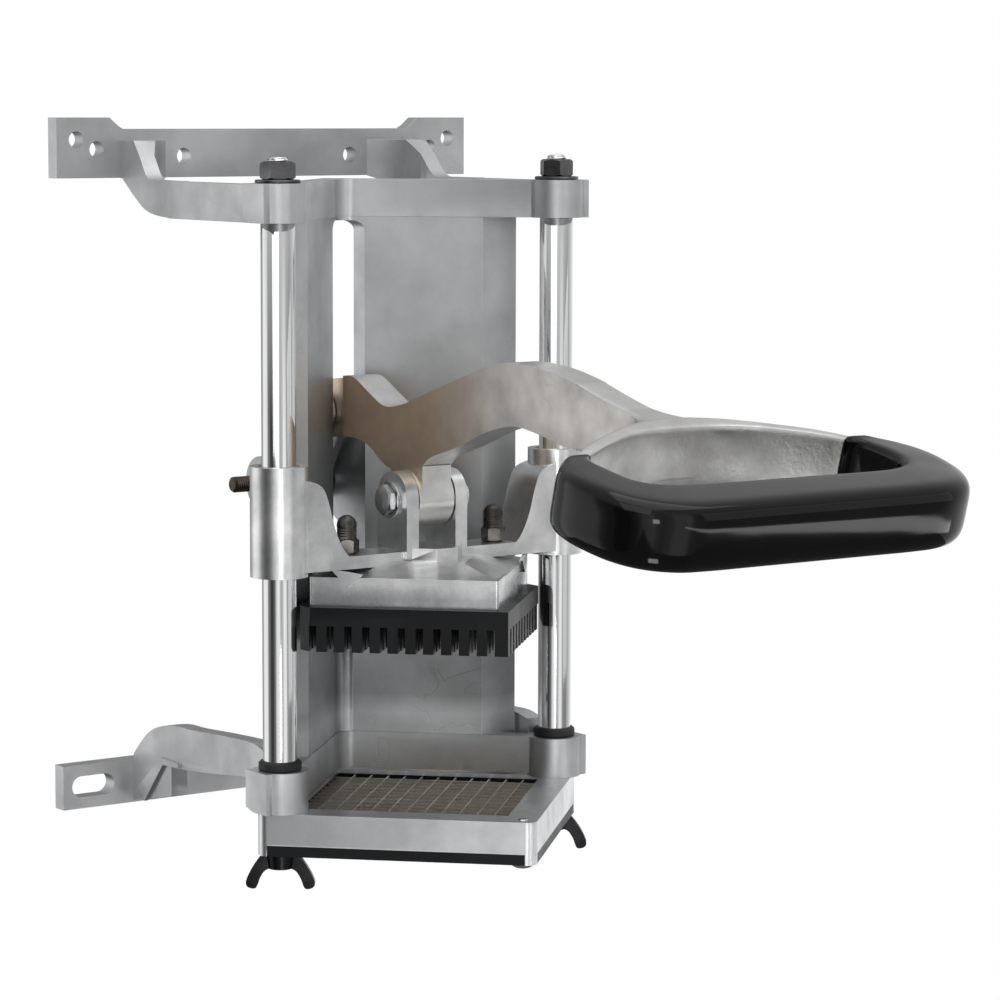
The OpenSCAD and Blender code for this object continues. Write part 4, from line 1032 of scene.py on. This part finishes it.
@dataclass(frozen=True)
class Viewpoint:
    """The camera, at the place and angle from which the photograph was taken."""

    azimuth: float = -35.89
    elevation: float = 6.35
    roll: float = 0.16
    place: Triple = (-0.94861, -1.51655, 0.33221)
    lens: float = 128.263
    sensor: float = 36.0
    clip: Pair = (0.05, 50.0)

    def build(self) -> None:
        """Makes the camera. Its three axes are worked out from the azimuth, elevation and roll."""
        az, el, ro = (math.radians(v) for v in (self.azimuth, self.elevation, self.roll))
        back = Vector((math.sin(az) * math.cos(el), -math.cos(az) * math.cos(el), math.sin(el)))
        right = Vector((math.cos(az), math.sin(az), 0.0))
        up = back.cross(right)
        across = right * math.cos(ro) + up * math.sin(ro)
        upward = up * math.cos(ro) - right * math.sin(ro)
        data = bpy.data.cameras.new("camera")
        data.lens = self.lens
        data.sensor_width = self.sensor
        data.clip_start, data.clip_end = self.clip
        camera = bpy.data.objects.new("camera", data)
        turn = Matrix((across, upward, back)).transposed().to_4x4()
        camera.matrix_world = Matrix.Translation(self.place) @ turn
        bpy.context.scene.collection.objects.link(camera)
        bpy.context.scene.camera = camera


@dataclass(frozen=True)
class Lamp:
    """One soft rectangular lamp, aimed at the middle of the object."""

    name: str
    place: Triple
    width: float
    height: float
    power: float

    def build(self, target: Vector) -> None:
        """Makes the lamp and turns it to the target.

        Args:
            target: the place that it is aimed at, in metres.
        """
        data = bpy.data.lights.new(self.name, "AREA")
        data.shape = "RECTANGLE"
        data.size = self.width
        data.size_y = self.height
        data.energy = self.power
        lamp = bpy.data.objects.new(self.name, data)
        away = Vector(self.place) - target
        turn = away.to_track_quat("Z", "Y").to_matrix().to_4x4()
        lamp.matrix_world = Matrix.Translation(self.place) @ turn
        bpy.context.scene.collection.objects.link(lamp)


@dataclass
class Studio:
    """The pale room: a white background, a pale floor far below, and plain soft lamps.

    In shiny metal the room shows its grey screens: each row of screens is an azimuth in degrees,
    from the front towards the right, and the light that comes from there. They give way to the
    ceiling between both heights of ceiling_at, which are the upward share of a direction.
    """

    floor_z: float = -0.9
    floor_half: float = 1.8
    floor_tone: float = 0.9
    floor_shiny: float = 0.16
    floor_white: float = 0.93
    target: Triple = (0.0, -0.30, 0.14)
    ambient: float = 0.72
    ceiling: float = 0.6
    ceiling_at: Pair = (0.30, 0.60)
    screens: tuple[Pair, ...] = (
        (-180, 0.40), (-163, 0.45), (-155, 1.0), (-118, 0.90), (-113, 0.34), (-110, 0.30),
        (-106, 0.18), (-96, 0.16), (-92, 0.05), (-74, 0.05), (-69, 0.12), (-62, 0.16),
        (-57, 0.40), (-50, 0.80), (-34, 1.0), (-28, 0.60), (-20, 0.42), (-8, 0.60), (-3, 0.95),
        (14, 0.90), (20, 0.38), (36, 0.24), (50, 0.24), (62, 0.42), (90, 0.70), (120, 0.95),
        (130, 0.90), (142, 0.16), (166, 0.16), (180, 0.40))
    lamps: tuple[Lamp, ...] = (
        Lamp("key_lamp", (-1.5, -1.3, 1.5), 1.6, 1.6, 7.5),
        Lamp("fill_lamp", (1.6, -1.9, 0.5), 1.4, 1.4, 2.5),
        Lamp("top_lamp", (0.1, -0.5, 1.9), 2.0, 1.6, 10.0),
        Lamp("strip_lamp", (0.72, -1.20, -0.38), 1.6, 0.06, 0.95),
        Lamp("upper_square", (-0.66, -1.42, -0.06), 0.20, 0.26, 1.0),
        Lamp("lower_square", (-0.36, -0.94, -0.62), 0.20, 0.26, 1.0),
    )

    def build(self) -> None:
        """Makes the world, the floor and the lamps."""
        self.world()
        self.floor()
        for lamp in self.lamps:
            lamp.build(Vector(self.target))
        bpy.context.scene.view_settings.view_transform = "Standard"

    def world(self) -> None:
        """White to the camera and through glass, even light on dull surfaces, and the screens
        under a bright ceiling in shiny ones. The azimuth is the arc tangent of x over -y."""
        world = bpy.data.worlds.new("studio")
        bpy.context.scene.world = world
        wires = Wiring.cleared(world)
        path = wires.add("ShaderNodeLightPath")
        seen = wires.maths("MAXIMUM", path.outputs["Is Camera Ray"],
                           path.outputs["Is Transmission Ray"])
        x, y, z = wires.parts(wires.add("ShaderNodeTexCoord").outputs["Generated"])
        azimuth = wires.maths("ARCTAN2", x, wires.maths("MULTIPLY", y, -1.0))
        around = wires.add("ShaderNodeValToRGB", {0: wires.ramp(azimuth, -math.pi, math.pi)})
        stops = around.color_ramp.elements
        while len(stops) < len(self.screens):
            stops.new(0.5)
        for stop, (degrees, light) in zip(stops, self.screens):
            stop.position = (degrees + 180.0) / 360.0
            stop.color = (*grey(light), 1.0)
        above = wires.ramp(z, *self.ceiling_at)
        mirrored = wires.blend(above, around.outputs[0], grey(self.ceiling))
        light = wires.blend(path.outputs["Is Glossy Ray"], grey(self.ambient), mirrored)
        background = wires.add("ShaderNodeBackground",
                               {"Color": wires.blend(seen, light, grey(1.0)), "Strength": 1.0})
        wires.add("ShaderNodeOutputWorld", {0: background.outputs[0]})

    def floor(self) -> None:
        """A pale floor that keeps a soft shadow, is white to the camera and dark in metal."""
        mesh = bpy.data.meshes.new("floor")
        s, z = self.floor_half, self.floor_z
        mesh.from_pydata([(-s, -s, z), (s, -s, z), (s, s, z), (-s, s, z)], [], [(0, 1, 2, 3)])
        material = bpy.data.materials.new("pale_floor")
        wires = Wiring.cleared(material)
        path = wires.add("ShaderNodeLightPath")
        share = wires.maths("MULTIPLY", path.outputs["Is Camera Ray"], self.floor_white)
        pale = wires.blend(path.outputs["Is Glossy Ray"], grey(self.floor_tone),
                           grey(self.floor_shiny))
        dull = wires.add("ShaderNodeBsdfDiffuse", {"Color": pale})
        white = wires.add("ShaderNodeEmission", {"Color": (*grey(1.0), 1.0), "Strength": 1.0})
        mixed = wires.add("ShaderNodeMixShader", {0: share, 1: dull.outputs[0],
                                                  2: white.outputs[0]})
        wires.add("ShaderNodeOutputMaterial", {0: mixed.outputs[0]})
        mesh.materials.append(material)
        floor = bpy.data.objects.new("floor", mesh)
        bpy.context.scene.collection.objects.link(floor)


def main() -> None:
    logging.basicConfig(level=logging.INFO, format="%(message)s")
    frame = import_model()
    Viewpoint().build()
    Studio().build()
    shop = Workshop(frame)
    Castings(shop).build()
    Fasteners(shop).build()
    Handle(shop).build()
    Remaining.dress(shop)


if __name__ == "__main__":
    main()
